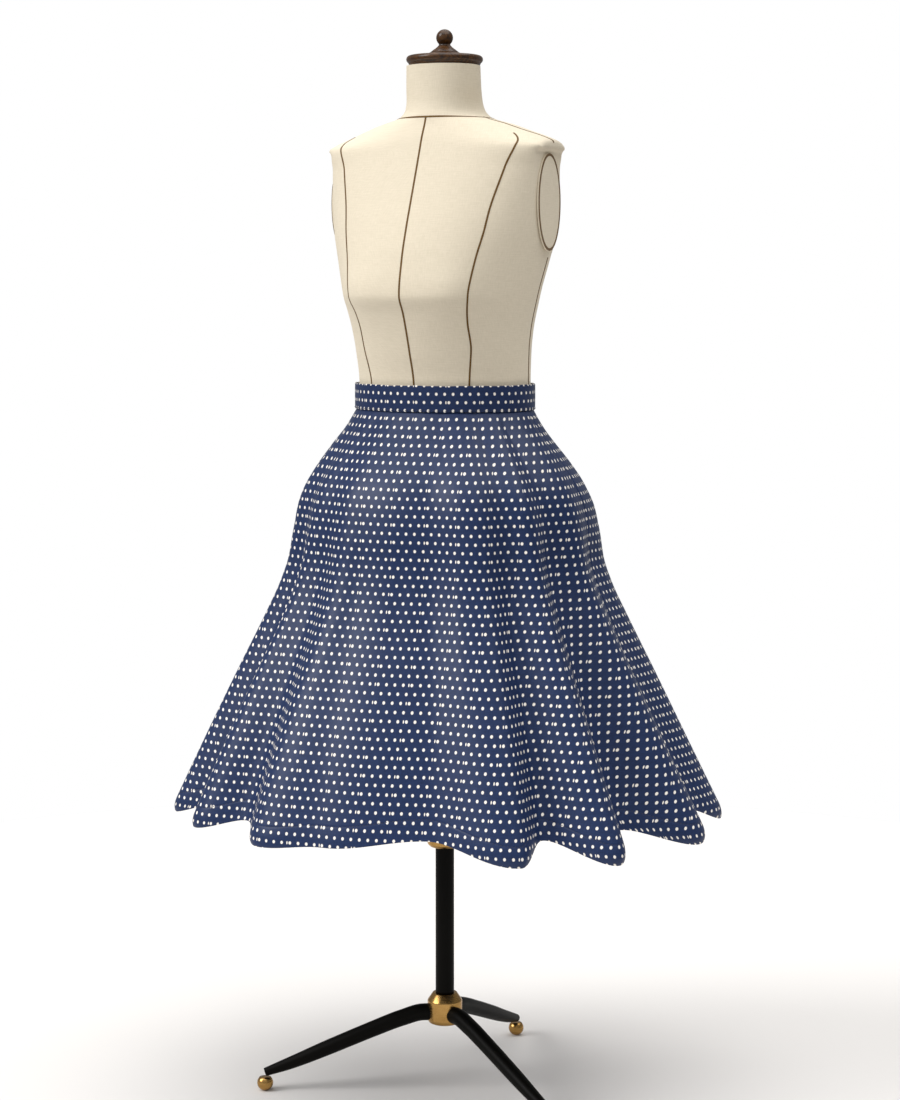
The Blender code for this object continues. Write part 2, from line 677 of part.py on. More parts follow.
def make_hub(brass):
    """The turned hub, with a round pocket for the end of each leg."""
    profile = [
        (0.0, HUB_TOP),
        (HUB_RADIUS - CHAMFER[0], HUB_TOP),
        (HUB_RADIUS, HUB_TOP - CHAMFER[1]),
        (HUB_RADIUS, HUB_BOTTOM + 0.006),
        (HUB_RADIUS - 0.0015, HUB_BOTTOM + 0.002),
        (HUB_RADIUS - 0.006, HUB_BOTTOM),
        (0.0, HUB_BOTTOM),
    ]
    hub = turned("hub", profile, brass, steps=30)
    start = LEG_POINTS[0]
    for name, bearing in LEG_BEARINGS.items():
        shape = bmesh.new()
        radius = start.radius + GAP
        bmesh.ops.create_cone(
            shape, cap_ends=True, segments=24, radius1=radius, radius2=radius, depth=0.03
        )
        lying = Matrix.Rotation(math.radians(90), 4, "Y")
        bmesh.ops.transform(shape, matrix=lying, verts=shape.verts)
        middle = Vector((start.reach - GAP + 0.015, 0, start.height))
        bmesh.ops.translate(shape, vec=middle, verts=shape.verts)
        pocket = bpy.data.objects.new(f"{name}_pocket", mesh_from_bmesh(f"{name}_pocket", shape))
        pocket.rotation_euler.z = math.radians(bearing)
        HELPERS.objects.link(pocket)
        as_helper(pocket)
        cut = hub.modifiers.new(f"Pocket {name}", "BOOLEAN")
        cut.operation = "DIFFERENCE"
        cut.object = pocket


def make_legs(black, brass):
    """Tapered tube legs that leave the hub level and arch down to ball feet."""
    reaches = [row.reach for row in LEG_POINTS]
    heights = [row.height for row in LEG_POINTS]
    radii = [row.radius for row in LEG_POINTS]
    ball_top = math.degrees(math.asin((FOOT_CUT - FOOT_CENTRE) / FOOT_RADIUS))
    ball_bottom = -math.degrees(math.asin(FOOT_CENTRE / FOOT_RADIUS))
    ball = arc((0, FOOT_CENTRE), FOOT_RADIUS, ball_top, ball_bottom, 9)
    for name, bearing in LEG_BEARINGS.items():
        curve = bpy.data.curves.new(name, "CURVE")
        curve.dimensions = "3D"
        curve.bevel_depth = 1.0
        curve.bevel_resolution = 3
        curve.use_fill_caps = True
        spline = curve.splines.new("POLY")
        spline.points.add(15)
        for point, reach in zip(spline.points, np.linspace(reaches[0], reaches[-1], 16)):
            height = smooth_value(reaches, heights, reach)
            point.co = (reach, 0.0, height, 1.0)
            point.radius = smooth_value(reaches, radii, reach)
        curve.materials.append(black)
        leg = bpy.data.objects.new(name, curve)
        PARTS.objects.link(leg)
        leg.rotation_euler.z = math.radians(bearing)
        foot_profile = [(0.0, FOOT_CUT), *ball, (0.0, 0.0)]
        foot = turned(name.replace("leg", "foot"), foot_profile, brass, steps=18)
        turn = math.radians(bearing)
        foot.location = (FOOT_REACH * math.cos(turn), FOOT_REACH * math.sin(turn), 0.0)


# ---------------------------------------------------------------- build
clear_scene()
PARTS = collection("Circle skirt on dress form")
HELPERS = collection("Cutters")

COTTON = material("Navy cotton", 0.023, 0.042, 0.118, 0.85)
LINEN = material("Natural linen", 0.86, 0.78, 0.64, 0.90)
WOOD = material("Varnished dark wood", 0.080, 0.040, 0.022, 0.30)
BRASS = material("Polished brass", 0.62, 0.36, 0.13, 0.28, metallic=1.0)
BLACK = material("Black lacquered steel", 0.010, 0.009, 0.008, 0.35)
TAPE = material("Navy zip tape", 0.020, 0.035, 0.095, 0.80)
ZINC = material("Nickel plated zip", 0.60, 0.60, 0.60, 0.25, metallic=1.0)
SHELL = material("Navy resin button", 0.020, 0.030, 0.080, 0.35)

make_skirt(COTTON)
make_waistband(COTTON)
make_button(SHELL)
make_zip_tape(TAPE)
SLIDER_ORIGIN, SLIDER_TURN = make_slider(ZINC)
HINGE = make_tab(SLIDER_ORIGIN, SLIDER_TURN, ZINC)
make_torso(LINEN)
make_arm_plates(LINEN)
make_neck_cap(WOOD)
make_finial(WOOD)
make_base(WOOD, BLACK)
make_pole(BLACK, BRASS)
make_hub(BRASS)
make_legs(BLACK, BRASS)

bpy.context.view_layer.update()
print("pull tab hinge at", [round(value, 5) for value in HINGE.matrix_world.translation])
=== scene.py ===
# %% [markdown]
# # A dotted circle skirt on a dress form
#
# A circle skirt has no gathers and no pleats. It is cut from part of a ring of cloth, the
# short inner edge is sewn to a straight band, and the long hem falls into deep round folds.
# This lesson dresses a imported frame: the frame holds the sizes and what moves, and each cell
# here makes one piece or one finish in its place on that frame.
#
# Everything is in metres. The floor is z = 0, the pole stands on the Z axis and the figure
# faces -Y. A bearing is an angle round the pole: 0 is the centre front, 90 the figure's left.

# %% Load the frame
import json
import math
from collections import namedtuple

import bmesh
import bpy
import numpy as np
from mathutils import Matrix, Vector

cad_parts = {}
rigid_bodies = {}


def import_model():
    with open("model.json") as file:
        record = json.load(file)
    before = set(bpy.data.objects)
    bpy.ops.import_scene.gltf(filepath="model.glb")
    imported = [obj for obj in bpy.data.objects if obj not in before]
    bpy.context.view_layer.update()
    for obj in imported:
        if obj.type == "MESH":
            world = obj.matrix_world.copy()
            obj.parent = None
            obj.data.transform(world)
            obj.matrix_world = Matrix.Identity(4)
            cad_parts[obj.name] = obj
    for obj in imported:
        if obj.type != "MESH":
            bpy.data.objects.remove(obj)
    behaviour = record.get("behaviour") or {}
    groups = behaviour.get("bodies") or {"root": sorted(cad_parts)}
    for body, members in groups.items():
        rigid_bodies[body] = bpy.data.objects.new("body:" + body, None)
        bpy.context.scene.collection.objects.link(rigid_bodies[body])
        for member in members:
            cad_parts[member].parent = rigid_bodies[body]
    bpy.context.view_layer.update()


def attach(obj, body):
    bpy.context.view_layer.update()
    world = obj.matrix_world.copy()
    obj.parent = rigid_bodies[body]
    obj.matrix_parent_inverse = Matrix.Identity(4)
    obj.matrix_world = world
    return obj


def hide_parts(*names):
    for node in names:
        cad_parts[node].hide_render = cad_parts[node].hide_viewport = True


for old in list(bpy.data.objects):
    bpy.data.objects.remove(old, do_unlink=True)
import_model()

# %% [markdown]
# ## The camera
# A long lens a little over three metres away keeps the skirt's outline free of distortion.
# It stands at the height of the bust, 25 degrees round to the figure's left, and looks
# slightly down. Setting the angles directly keeps the pole upright in the view.

# %% Camera
CAMERA_TURN = 25.0  # degrees round to the figure's left
CAMERA_TILT = 6.2365  # degrees below level
CAMERA_DISTANCE = 3.2705
CAMERA_ASIDE = 0.0072
CAMERA_HEIGHT = 1.113
LENS = 78.55

turn = math.radians(CAMERA_TURN)
towards_camera = Vector((math.sin(turn), -math.cos(turn), 0))
camera_right = Vector((math.cos(turn), math.sin(turn), 0))
camera = bpy.data.objects.new("camera", bpy.data.cameras.new("camera"))
camera.data.lens = LENS
camera.location = towards_camera * CAMERA_DISTANCE + camera_right * CAMERA_ASIDE
camera.location.z = CAMERA_HEIGHT
camera.rotation_euler = (math.radians(90 - CAMERA_TILT), 0, turn)
bpy.context.scene.collection.objects.link(camera)
bpy.context.scene.camera = camera
bpy.context.scene.view_settings.view_transform = "Standard"
print("camera at", [round(value, 3) for value in camera.location])

# %% [markdown]
# ## One helper for nodes, one for colours
# Materials and Geometry Nodes are both node trees, so one small function can add a node to
# either: it sets the node's own settings and then, for each input, either a value or a link.
# Colours are written as people read them, in sRGB hex, and shaders want linear light.


# %% Nodes and colours
def add(tree, kind, inputs=None, **settings):
    """Add a node. An input is a value, a node (its first output) or one of a node's outputs."""
    node = tree.nodes.new(kind)
    for name, value in settings.items():
        setattr(node, name, value)
    for socket, value in (inputs or {}).items():
        if isinstance(value, bpy.types.Node):
            value = value.outputs[0]
        if isinstance(value, bpy.types.NodeSocket):
            tree.links.new(value, node.inputs[socket])
        else:
            node.inputs[socket].default_value = value
    return node


def linear(hex_colour):
    """#RRGGBB in sRGB to linear RGBA."""
    channels = [int(hex_colour[place : place + 2], 16) / 255 for place in (1, 3, 5)]
    light = [c / 12.92 if c <= 0.04045 else ((c + 0.055) / 1.055) ** 2.4 for c in channels]
    return (*light, 1.0)


def new_finish(name, sockets):
    """A material with one Principled shader; returns the material, its tree and the shader."""
    made = bpy.data.materials.new(name)
    made.use_nodes = True
    made.node_tree.nodes.clear()
    shader = add(made.node_tree, "ShaderNodeBsdfPrincipled", sockets)
    add(made.node_tree, "ShaderNodeOutputMaterial", {"Surface": shader})
    return made, made.node_tree, shader


print("linear navy:", [round(value, 3) for value in linear("#15264A")])

# %% [markdown]
# ## A pale studio
# A pale surround lights the piece weakly from every side, as a light tent does. The key lamp
# far out on the left models the folds, a broad lamp overhead lights what faces up, and a weak
# fill lamp in front keeps the shaded side open. The floor is a disc of pale matt paper. It is
# bright enough to fade into the white backdrop and shows only the skirt's soft shadow.

# %% Studio
world = bpy.data.worlds.new("light tent")
world.use_nodes = True
world.node_tree.nodes.clear()
rays = add(world.node_tree, "ShaderNodeLightPath")
tent = add(world.node_tree, "ShaderNodeBackground", {"Color": linear("#FFFFFF"), "Strength": 0.30})
backdrop = add(world.node_tree, "ShaderNodeBackground", {"Color": linear("#FFFFFF"), "Strength": 1.0})
seen = add(world.node_tree, "ShaderNodeMixShader", {0: rays.outputs["Is Camera Ray"], 1: tent, 2: backdrop})
add(world.node_tree, "ShaderNodeOutputWorld", {"Surface": seen})
bpy.context.scene.world = world


def soft_lamp(name, aside, towards, height, strength, spread, shine=1.0):
    """Even light from one side: its direction in camera steps, and how wide its source looks."""
    lamp = bpy.data.objects.new(name, bpy.data.lights.new(name, "SUN"))
    lamp.data.specular_factor = shine
    lamp.data.angle = math.radians(spread)
    lamp.data.energy = strength
    lamp.location = camera_right * aside + towards_camera * towards + Vector((0, 0, height))
    lamp.rotation_euler = (-lamp.location).to_track_quat("-Z", "Y").to_euler()
    bpy.context.scene.collection.objects.link(lamp)


soft_lamp("key lamp", aside=-3.0, towards=0.95, height=2.2, strength=1.8, spread=32)
soft_lamp("top lamp", aside=0.4, towards=0.1, height=4.0, strength=2.6, spread=80, shine=0.1)
soft_lamp("fill lamp", aside=-1.2, towards=3.0, height=1.5, strength=0.3, spread=100, shine=0.0)

FLOOR_RADIUS = 1.9
floor_mesh = bpy.data.meshes.new("floor")
edge_turns = np.linspace(0, 2 * math.pi, 96, endpoint=False)
rim = [(FLOOR_RADIUS * math.cos(a), FLOOR_RADIUS * math.sin(a), 0.0) for a in edge_turns]
floor_mesh.from_pydata(rim, [], [list(range(len(rim)))])
floor = bpy.data.objects.new("floor", floor_mesh)
bpy.context.scene.collection.objects.link(floor)
paper, _, _ = new_finish("matt paper floor", {"Base Color": linear("#E2DFDC"), "Roughness": 0.95})
floor_mesh.materials.append(paper)

# %% [markdown]
# ## Helpers for meshes
# Most pieces here are skins: rings or rows of points joined by four-sided faces. A skin over
# rings makes turned and swept pieces. A wall is a sheet's outer rows, its rounded lower edge
# and its inner rows, joined into one closed loop, so it has a thickness and no open edge.


# %% Meshes
def show(name, points, faces, finish, uv=None, around=None, outward=False, sharp=50):
    """A mesh object placed by its vertices. uv is one pair for each point, in metres of cloth;
    around is what a full turn adds to u, for faces that close the ring."""
    mesh = bpy.data.meshes.new(name)
    mesh.from_pydata(np.asarray(points, float).reshape(-1, 3).tolist(), [], faces)
    if uv is not None:
        corner = np.empty(len(mesh.loops), int)
        mesh.loops.foreach_get("vertex_index", corner)
        flat = np.asarray(uv, float).reshape(-1, 2)[corner]
        if around is not None:
            starts = np.empty(len(mesh.polygons), int)
            mesh.polygons.foreach_get("loop_start", starts)
            sizes = np.diff(np.append(starts, len(corner)))
            widest = np.repeat(np.maximum.reduceat(flat[:, 0], starts), sizes)
            turn_u = np.asarray(around, float).reshape(-1)[corner]
            flat[:, 0] += np.where(widest - flat[:, 0] > turn_u / 2, turn_u, 0.0)
        layer = mesh.uv_layers.new(name="cut")
        layer.data.foreach_set("uv", flat.astype(np.float32).ravel())
    if outward:
        shape = bmesh.new()
        shape.from_mesh(mesh)
        bmesh.ops.recalc_face_normals(shape, faces=shape.faces)
        shape.to_mesh(mesh)
        shape.free()
    mesh.materials.append(finish)
    mesh.shade_smooth()
    mesh.set_sharp_from_angle(angle=math.radians(sharp))
    made = bpy.data.objects.new(name, mesh)
    bpy.context.scene.collection.objects.link(made)
    return made


def skin(name, rings, finish, closed=False, **details):
    """A skin over rings of points. A ring of one point closes an end; a wide end gets a flat cap."""
    starts = np.cumsum([0, *(len(ring) for ring in rings)])
    pairs = [(n, n + 1) for n in range(len(rings) - 1)] + ([(len(rings) - 1, 0)] if closed else [])
    faces = []
    for first, second in pairs:
        a, b = len(rings[first]), len(rings[second])
        for n in range(max(a, b)):
            m = (n + 1) % max(a, b)
            corners = (
                starts[first] + n % a, starts[second] + n % b, starts[second] + m % b, starts[first] + m % a
            )
            faces.append([int(corner) for corner in dict.fromkeys(corners)])
    for end in () if closed else (0, -1):
        if len(rings[end]) > 1:
            first = int(starts[end - 1 if end else 0])
            faces.append(list(range(first, first + len(rings[end]))))
    return show(name, np.concatenate(rings), faces, finish, outward=True, **details)


def wall(name, outer, inner, finish, uv, roll=0.5, **details):
    """A closed wall between two sheets of rows x columns points, rounded along its lower edge."""
    hem = (outer[-1] + inner[-1]) / 2
    down = outer[-1] - outer[-2]
    down /= np.linalg.norm(down, axis=-1, keepdims=True)
    bulge = np.linalg.norm(outer[-1] - inner[-1], axis=-1, keepdims=True) * roll
    steps = [
        (outer[-1] - hem) * math.cos(a) + down * bulge * math.sin(a) + hem for a in (0.6, 1.2, 1.94, 2.54)
    ]
    loop = np.concatenate([outer, steps, inner[::-1]])
    hem_uv = np.repeat(uv[-1:], len(steps), axis=0)
    hem_uv[..., 1] -= 0.0004
    loop_uv = np.concatenate([uv, hem_uv, uv[::-1]])
    rows, columns = loop.shape[:2]
    faces = []
    for row in range(rows):
        below = (row + 1) % rows
        for column in range(columns - 1):
            faces.append(
                (
                    row * columns + column,
                    below * columns + column,
                    below * columns + column + 1,
                    row * columns + column + 1,
                )
            )
    for row in range(rows // 2 - 1):
        across, across_below = rows - 1 - row, rows - 2 - row
        for column, flip in ((0, False), (columns - 1, True)):
            corners = [r * columns + column for r in (row, across, across_below, row + 1)]
            faces.append(tuple(corners[::-1] if flip else corners))
    return show(name, loop, faces, finish, uv=loop_uv, **details)


def triangles(made):
    made.data.calc_loop_triangles()
    return len(made.data.loop_triangles)


def fit(piece, body, node=None):
    """Carry a piece on its body, in the place of a node of the frame if it has one."""
    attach(piece, body)
    if node:
        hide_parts(node)


# %% [markdown]
# ## Reading short tables smoothly
# The forms are written as short tables, a row for each height where the outline changes. A
# monotone cubic reads them between the rows without overshooting, and it works on whole
# arrays, so that one call places every point of a sheet.


# %% Tables
Section = namedtuple("Section", "height half_width front back fullness set_back")


def column_at(places, values, where):
    """Read a table column at many places, with no overshoot between its rows."""
    order = np.argsort(places)
    x, y = np.array(places, float)[order], np.array(values, float)[order]
    slopes = np.diff(y) / np.diff(x)
    before, after = slopes[:-1], slopes[1:]
    total = np.where(before * after > 0, before + after, 1.0)
    inner = np.where(before * after > 0, 2 * before * after / total, 0.0)
    tangents = np.concatenate([slopes[:1], inner, slopes[-1:]])
    where = np.asarray(where, float)
    row = np.clip(np.searchsorted(x, where) - 1, 0, len(x) - 2)
    width = x[row + 1] - x[row]
    u = (where - x[row]) / width
    return (
        y[row] * (1 + 2 * u) * (1 - u) ** 2
        + y[row + 1] * u * u * (3 - 2 * u)
        + tangents[row] * width * u * (1 - u) ** 2
        - tangents[row + 1] * width * u * u * (1 - u)
    )


def section_at(table, heights):
    """The table's columns read at each height, as a Section of arrays."""
    known = [row.height for row in table]
    columns = ([row[n] for row in table] for n in range(1, len(Section._fields)))
    return Section(heights, *(column_at(known, column, heights) for column in columns))


def ring_radius(section, bearing):
    """Distance from the section's own middle to its outline at each bearing."""
    turned = np.radians(bearing)
    to_front = (1 + np.tanh(3 * np.cos(turned))) / 2
    front, back = section.front + section.set_back, section.back - section.set_back
    depth = back + (front - back) * to_front
    side = np.abs(np.sin(turned) / section.half_width) ** section.fullness
    fore = np.abs(np.cos(turned) / depth) ** section.fullness
    return (side + fore) ** (-1 / section.fullness)


def at_bearing(radius, bearing, height):
    turned = np.radians(bearing)
    return np.stack(np.broadcast_arrays(radius * np.sin(turned), -radius * np.cos(turned), height), axis=-1)


def unit(vectors):
    return vectors / np.linalg.norm(vectors, axis=-1, keepdims=True)


def outwards(sheet):
    """The outward normal at every point of a sheet whose rows run down and columns run round."""
    return unit(np.cross(np.gradient(sheet, axis=0), np.gradient(sheet, axis=1)))


# %% [markdown]
# ## The skirt's form
# Over the hips the cloth follows the figure, so its sections are rings there. Below, the hem is
# about three and a half times as long as the waist, and the spare length stands out in folds.
# Each fold line is a crest or a valley that leaves the waist and runs down to the hem. Between
# two neighbouring lines the cloth swings over in a cosine, which gives the round flutes of a
# cotton circle skirt. The frame's solids come from nearly the same tables. Here the hem of each
# fold also curls under by a few millimetres, which rounds its tip, so this sheet is a little
# narrower than the frame.

# %% Skirt tables
SKIRT_TOP = 0.949
HIP_HEIGHT = 0.800
HEM_HEIGHT = 0.404
CLOTH = 0.0012  # the wall of doubled poplin that shows at the edges
HEM_CLOTH = 0.0019  # where the hem is turned up
HEM_TURN = 0.026
CURL_SHARE = 0.040  # of the length, over which the hem of a fold curls under
CURL = 0.13  # share of a fold's reach that it gives up at the edge

SKIRT_SECTIONS = [
    Section(0.949, 0.1245, 0.1005, 0.1000, 2.0, 0.000),
    Section(0.925, 0.1355, 0.1170, 0.1170, 2.0, -0.003),
    Section(0.900, 0.1520, 0.1375, 0.1360, 2.0, -0.006),
    Section(0.875, 0.1690, 0.1565, 0.1550, 2.0, -0.006),
    Section(0.850, 0.1835, 0.1720, 0.1720, 2.0, -0.006),
    Section(0.820, 0.1945, 0.1825, 0.1865, 2.0, -0.003),
    Section(0.790, 0.1990, 0.1890, 0.1935, 2.0, 0.000),
    Section(0.755, 0.2010, 0.1935, 0.1985, 2.0, 0.000),
    Section(0.720, 0.2095, 0.2005, 0.2070, 2.0, 0.000),
    Section(0.680, 0.2250, 0.2125, 0.2210, 2.0, 0.000),
    Section(0.600, 0.2580, 0.2430, 0.2520, 2.0, 0.000),
    Section(0.500, 0.2980, 0.2790, 0.2910, 2.0, 0.000),
    Section(0.404, 0.3370, 0.3070, 0.3260, 2.0, 0.000),
]

FoldLine = namedtuple("FoldLine", "name hip_bearing hem_bearing hip_reach hem_reach hem_height")
FOLD_LINES = [
    FoldLine("front valley", 17, 21, 0, -1, 0.4212),
    FoldLine("front crest", 38, 40, 26, 56, 0.397),
    FoldLine("front left valley", 47, 47, 16, 11, 0.422),
    FoldLine("front left crest", 55, 58, 30, 84, 0.396),
    FoldLine("left hip valley", 65, 67, 12, 4, 0.422),
    FoldLine("left hip crest", 77, 82, 22, 70, 0.396),
    FoldLine("left side seam", 90, 95, 12, 10, 0.420),
    FoldLine("left side crest", 103, 108, 14, 52, 0.393),
    FoldLine("left back valley", 118, 121, 4, 0, 0.418),
    FoldLine("left back crest", 132, 134, 10, 44, 0.397),
    FoldLine("back left valley", 146, 147, 2, -2, 0.418),
    FoldLine("back left crest", 160, 160, 8, 33, 0.399),
    FoldLine("centre back seam", 180, 180, 0, 2, 0.414),
    FoldLine("back right crest", 201, 203, 9, 38, 0.398),
    FoldLine("back right valley", 215, 216, 0, -4, 0.419),
    FoldLine("right back crest", 229, 229, 11, 48, 0.397),
    FoldLine("right back valley", 242, 242, 2, -2, 0.418),
    FoldLine("right side crest", 255, 256, 12, 70, 0.397),
    FoldLine("right side seam", 268, 268, 2, 0, 0.416),
    FoldLine("right hip crest", 280, 281, 10, 40, 0.397),
    FoldLine("right hip valley", 292, 291, 2, 4, 0.412),
    FoldLine("right front crest", 303, 299, 10, 49, 0.398),
    FoldLine("right front valley", 312, 308, 0, 4, 0.415),
    FoldLine("front right crest", 321, 317, 6, 46, 0.400),
    FoldLine("front right valley", 331, 329, 0, -2, 0.418),
    FoldLine("front panel crest", 342, 340, 5, 38, 0.3990),
    FoldLine("front panel flat", 353, 356, 2, 16, 0.4065),
]
LINE_NUMBER = {line.name: number for number, line in enumerate(FOLD_LINES)}
LINE_VALUES = np.array([line[1:] for line in FOLD_LINES], float)


def fold_line_at(number, drop):
    """Bearing, reach and hem height of fold lines; drop is 0 at the band and 1 at the hem."""
    turns, index = np.divmod(number, len(FOLD_LINES))
    hip_bearing, hem_bearing, hip_reach, hem_reach, hem_height = np.moveaxis(LINE_VALUES[index], -1, 0)
    hip_drop = (SKIRT_TOP - HIP_HEIGHT) / (SKIRT_TOP - HEM_HEIGHT)
    below_hip = np.maximum(0, (drop - hip_drop) / (1 - hip_drop))
    onset = 1 - (1 - np.minimum(1, drop / hip_drop)) ** 2
    bearing = hip_bearing + (hem_bearing - hip_bearing) * below_hip
    reach = onset * (hip_reach + (hem_reach - hip_reach) * below_hip)
    return bearing + 360 * turns, reach / 1000, hem_height


def skirt_form(station, drop):
    """Points of the skirt's outer face; a station counts fold lines round the skirt."""
    station, drop = np.broadcast_arrays(np.asarray(station, float), np.asarray(drop, float))
    number = np.floor(station).astype(int)
    along = station - number
    first, second = fold_line_at(number, drop), fold_line_at(number + 1, drop)
    eased = (1 - np.cos(np.pi * along)) / 2
    bearing = first[0] + (second[0] - first[0]) * along
    reach = first[1] + (second[1] - first[1]) * eased
    curl = np.clip((drop - 1 + CURL_SHARE) / CURL_SHARE, 0, 1.05)
    reach = reach * (1 - CURL * curl**2.5)
    hem_height = first[2] + (second[2] - first[2]) * eased
    section = section_at(SKIRT_SECTIONS, SKIRT_TOP - (SKIRT_TOP - HEM_HEIGHT) * drop)
    height = SKIRT_TOP - (SKIRT_TOP - hem_height) * drop
    points = at_bearing(ring_radius(section, bearing) + reach, bearing, height)
    points[..., 1] += section.set_back
    return points, bearing


print(len(FOLD_LINES), "fold lines, hem", round(float(LINE_VALUES[:, 4].min()), 3), "m at its lowest")

# %% [markdown]
# ## Creases
# Between the big folds a pressed cotton shows a few small drag lines: short ones under the
# band, where the bias cloth takes the waist's curve, and longer shallow ones that run down
# beside the folds. Each is one row of a table, with its own place, length, depth and width,
# and it fades out at both ends.

# %% Crease table
Crease = namedtuple("Crease", "bearing height end_bearing end_height depth width")
CREASES = [
    Crease(-68, 0.945, -74, 0.865, -1.2, 7),
    Crease(-47, 0.946, -45, 0.890, 0.9, 6),
    Crease(-30, 0.944, -36, 0.820, -1.0, 9),
    Crease(-12, 0.946, -14, 0.905, 0.6, 5),
    Crease(4, 0.945, 3, 0.880, -0.8, 6),
    Crease(22, 0.946, 27, 0.868, -1.3, 6),
    Crease(33, 0.944, 41, 0.852, 1.0, 5),
    Crease(46, 0.946, 50, 0.842, -1.5, 5),
    Crease(63, 0.945, 66, 0.880, -1.0, 5),
    Crease(84, 0.944, 88, 0.858, 1.0, 6),
    Crease(106, 0.946, 111, 0.875, -1.1, 7),
    Crease(139, 0.945, 137, 0.900, 0.7, 6),
    Crease(157, 0.944, 152, 0.850, -1.2, 8),
    Crease(206, 0.945, 210, 0.862, -1.0, 8),
    Crease(226, 0.946, 224, 0.905, 0.8, 5),
    Crease(246, 0.945, 249, 0.840, -1.3, 7),
    Crease(-14, 0.800, -17, 0.560, 1.1, 14),
    Crease(-34, 0.760, -38, 0.480, -1.2, 12),
    Crease(9, 0.790, 8, 0.600, -0.9, 11),
    Crease(29, 0.770, 30, 0.500, 1.2, 9),
    Crease(71, 0.760, 73, 0.540, -1.0, 9),
    Crease(98, 0.780, 101, 0.600, 1.0, 10),
    Crease(126, 0.760, 128, 0.520, -1.2, 11),
    Crease(168, 0.790, 169, 0.560, 1.0, 12),
    Crease(193, 0.770, 195, 0.500, -1.0, 12),
    Crease(236, 0.780, 237, 0.570, 1.1, 11),
    Crease(262, 0.760, 262, 0.480, -1.2, 12),
]


def creased(points, bearing):
    """Push a sheet in and out along its normals by the creases, in millimetres each."""
    height = points[..., 2]
    girth = np.hypot(points[..., 0], points[..., 1])
    push = np.zeros(height.shape)
    for row in CREASES:
        along = (row.height - height) / (row.height - row.end_height)
        middle = row.bearing + (row.end_bearing - row.bearing) * along
        apart = np.radians((bearing - middle + 180) % 360 - 180) * girth
        fade = np.clip(np.minimum(along * 4 + 0.4, (1 - along) * 2), 0, 1)
        push += row.depth / 1000 * fade**2 * (3 - 2 * fade) * np.exp(-((apart * 1000 / row.width) ** 2))
    return points + outwards(points) * push[..., None]


# %% [markdown]
# ## The skirt's panels
# A maker cuts the front in one piece and the back in two, so that the zip has a seam to lie
# in. Near a seam the columns are set out in millimetres from the seam line, and the cloth
# rolls in there, as it does where it is pressed open. Each point also keeps where it lies in
# the cloth's pattern: v is the height, and u is the distance round from a line of the print
# that leaves the centre front at the band and drifts to the figure's left on its way down.
# A back panel counts u from its own middle. Where the cloth flares, the print leans, and the
# shear holds how much at each point, so that the cotton can draw its dots more upright.

# %% Panels
PANELS = {
    "front_panel": ("right side seam", "left side seam", "skirt_front"),
    "back_panel_left": ("left side seam", "centre back seam", "skirt_back_left"),
    "back_panel_right": ("centre back seam", "right side seam", "skirt_back_right"),
}
COLUMNS_PER_LINE = 15
ROWS = 118
SEAM_OFFSETS = np.array([0.00015, 0.0006, 0.0012, 0.0021, 0.0036])
SEAM_ROLL = np.array([0.0011, 0.00055, 0.00022, 0.00006, 0.0])
STITCH_DROP = 1 - HEM_TURN / (SKIRT_TOP - HEM_HEIGHT)

near_stitches = STITCH_DROP + np.array([-0.0050, -0.0028, -0.0012, 0.0, 0.0012, 0.0028, 0.0050])
near_hem = 1 - CURL_SHARE * np.array([0.75, 0.6, 0.45, 0.32, 0.2, 0.1, 0.04])
drops = np.unique(np.concatenate([np.linspace(0, 1, ROWS), near_stitches, near_hem]))[:, None]


def seam_numbers(first_line, last_line):
    first, last = LINE_NUMBER[first_line], LINE_NUMBER[last_line]
    return first, last + (len(FOLD_LINES) if last <= first else 0)


def panel_stations(first, last, drops):
    """Stations of a panel's columns at each drop, close together beside both seams."""
    step = 1e-4
    inside = []
    for seam, way in ((first, 1), (last, -1)):
        run = skirt_form(seam + way * step, drops)[0] - skirt_form(seam, drops)[0]
        per_metre = step / np.linalg.norm(run, axis=-1)
        inside.append(seam + way * SEAM_OFFSETS * per_metre)
    low, high = inside[0][:, -1:], inside[1][:, -1:]
    share = np.linspace(0, 1, (last - first) * COLUMNS_PER_LINE + 1)[1:-1]
    return np.concatenate([inside[0], low + (high - low) * share, inside[1][:, ::-1]], axis=1)


PRINT_LINE = {0.949: 1.5, 0.90: 2.6, 0.85: 6.0, 0.80: 9.7, 0.75: 13.3, 0.65: 15.0, 0.55: 17.0, 0.40: 17.0}


def distance_round(station, drops):
    """Distance round the skirt from the centre front to each station, at each drop."""
    start = len(FOLD_LINES) * math.floor(station.min() / len(FOLD_LINES)) - 1
    fine = np.linspace(start, station.max() + 0.01, int((station.max() - start) * 24))[None, :]
    points, bearing = skirt_form(fine, drops)
    steps = np.linalg.norm(np.diff(points[..., :2], axis=1), axis=-1)
    run = np.concatenate([np.zeros((len(drops), 1)), np.cumsum(steps, axis=1)], axis=1)
    rows = []
    for number in range(len(drops)):
        fronts = [b for b in (0, 360, 720) if bearing[number, 0] <= b <= bearing[number, -1]]
        origin = np.interp(fronts[-1] if fronts else 0, bearing[number], run[number])
        rows.append(np.interp(station[number], fine[0], run[number]) - origin)
    return np.array(rows)


HEM_GROOVE = 0.00035


def hem_groove(drops):
    """The stitches pull the cloth in a little along the hem line."""
    return -HEM_GROOVE * np.exp(-(((drops - STITCH_DROP) / 0.0022) ** 2))


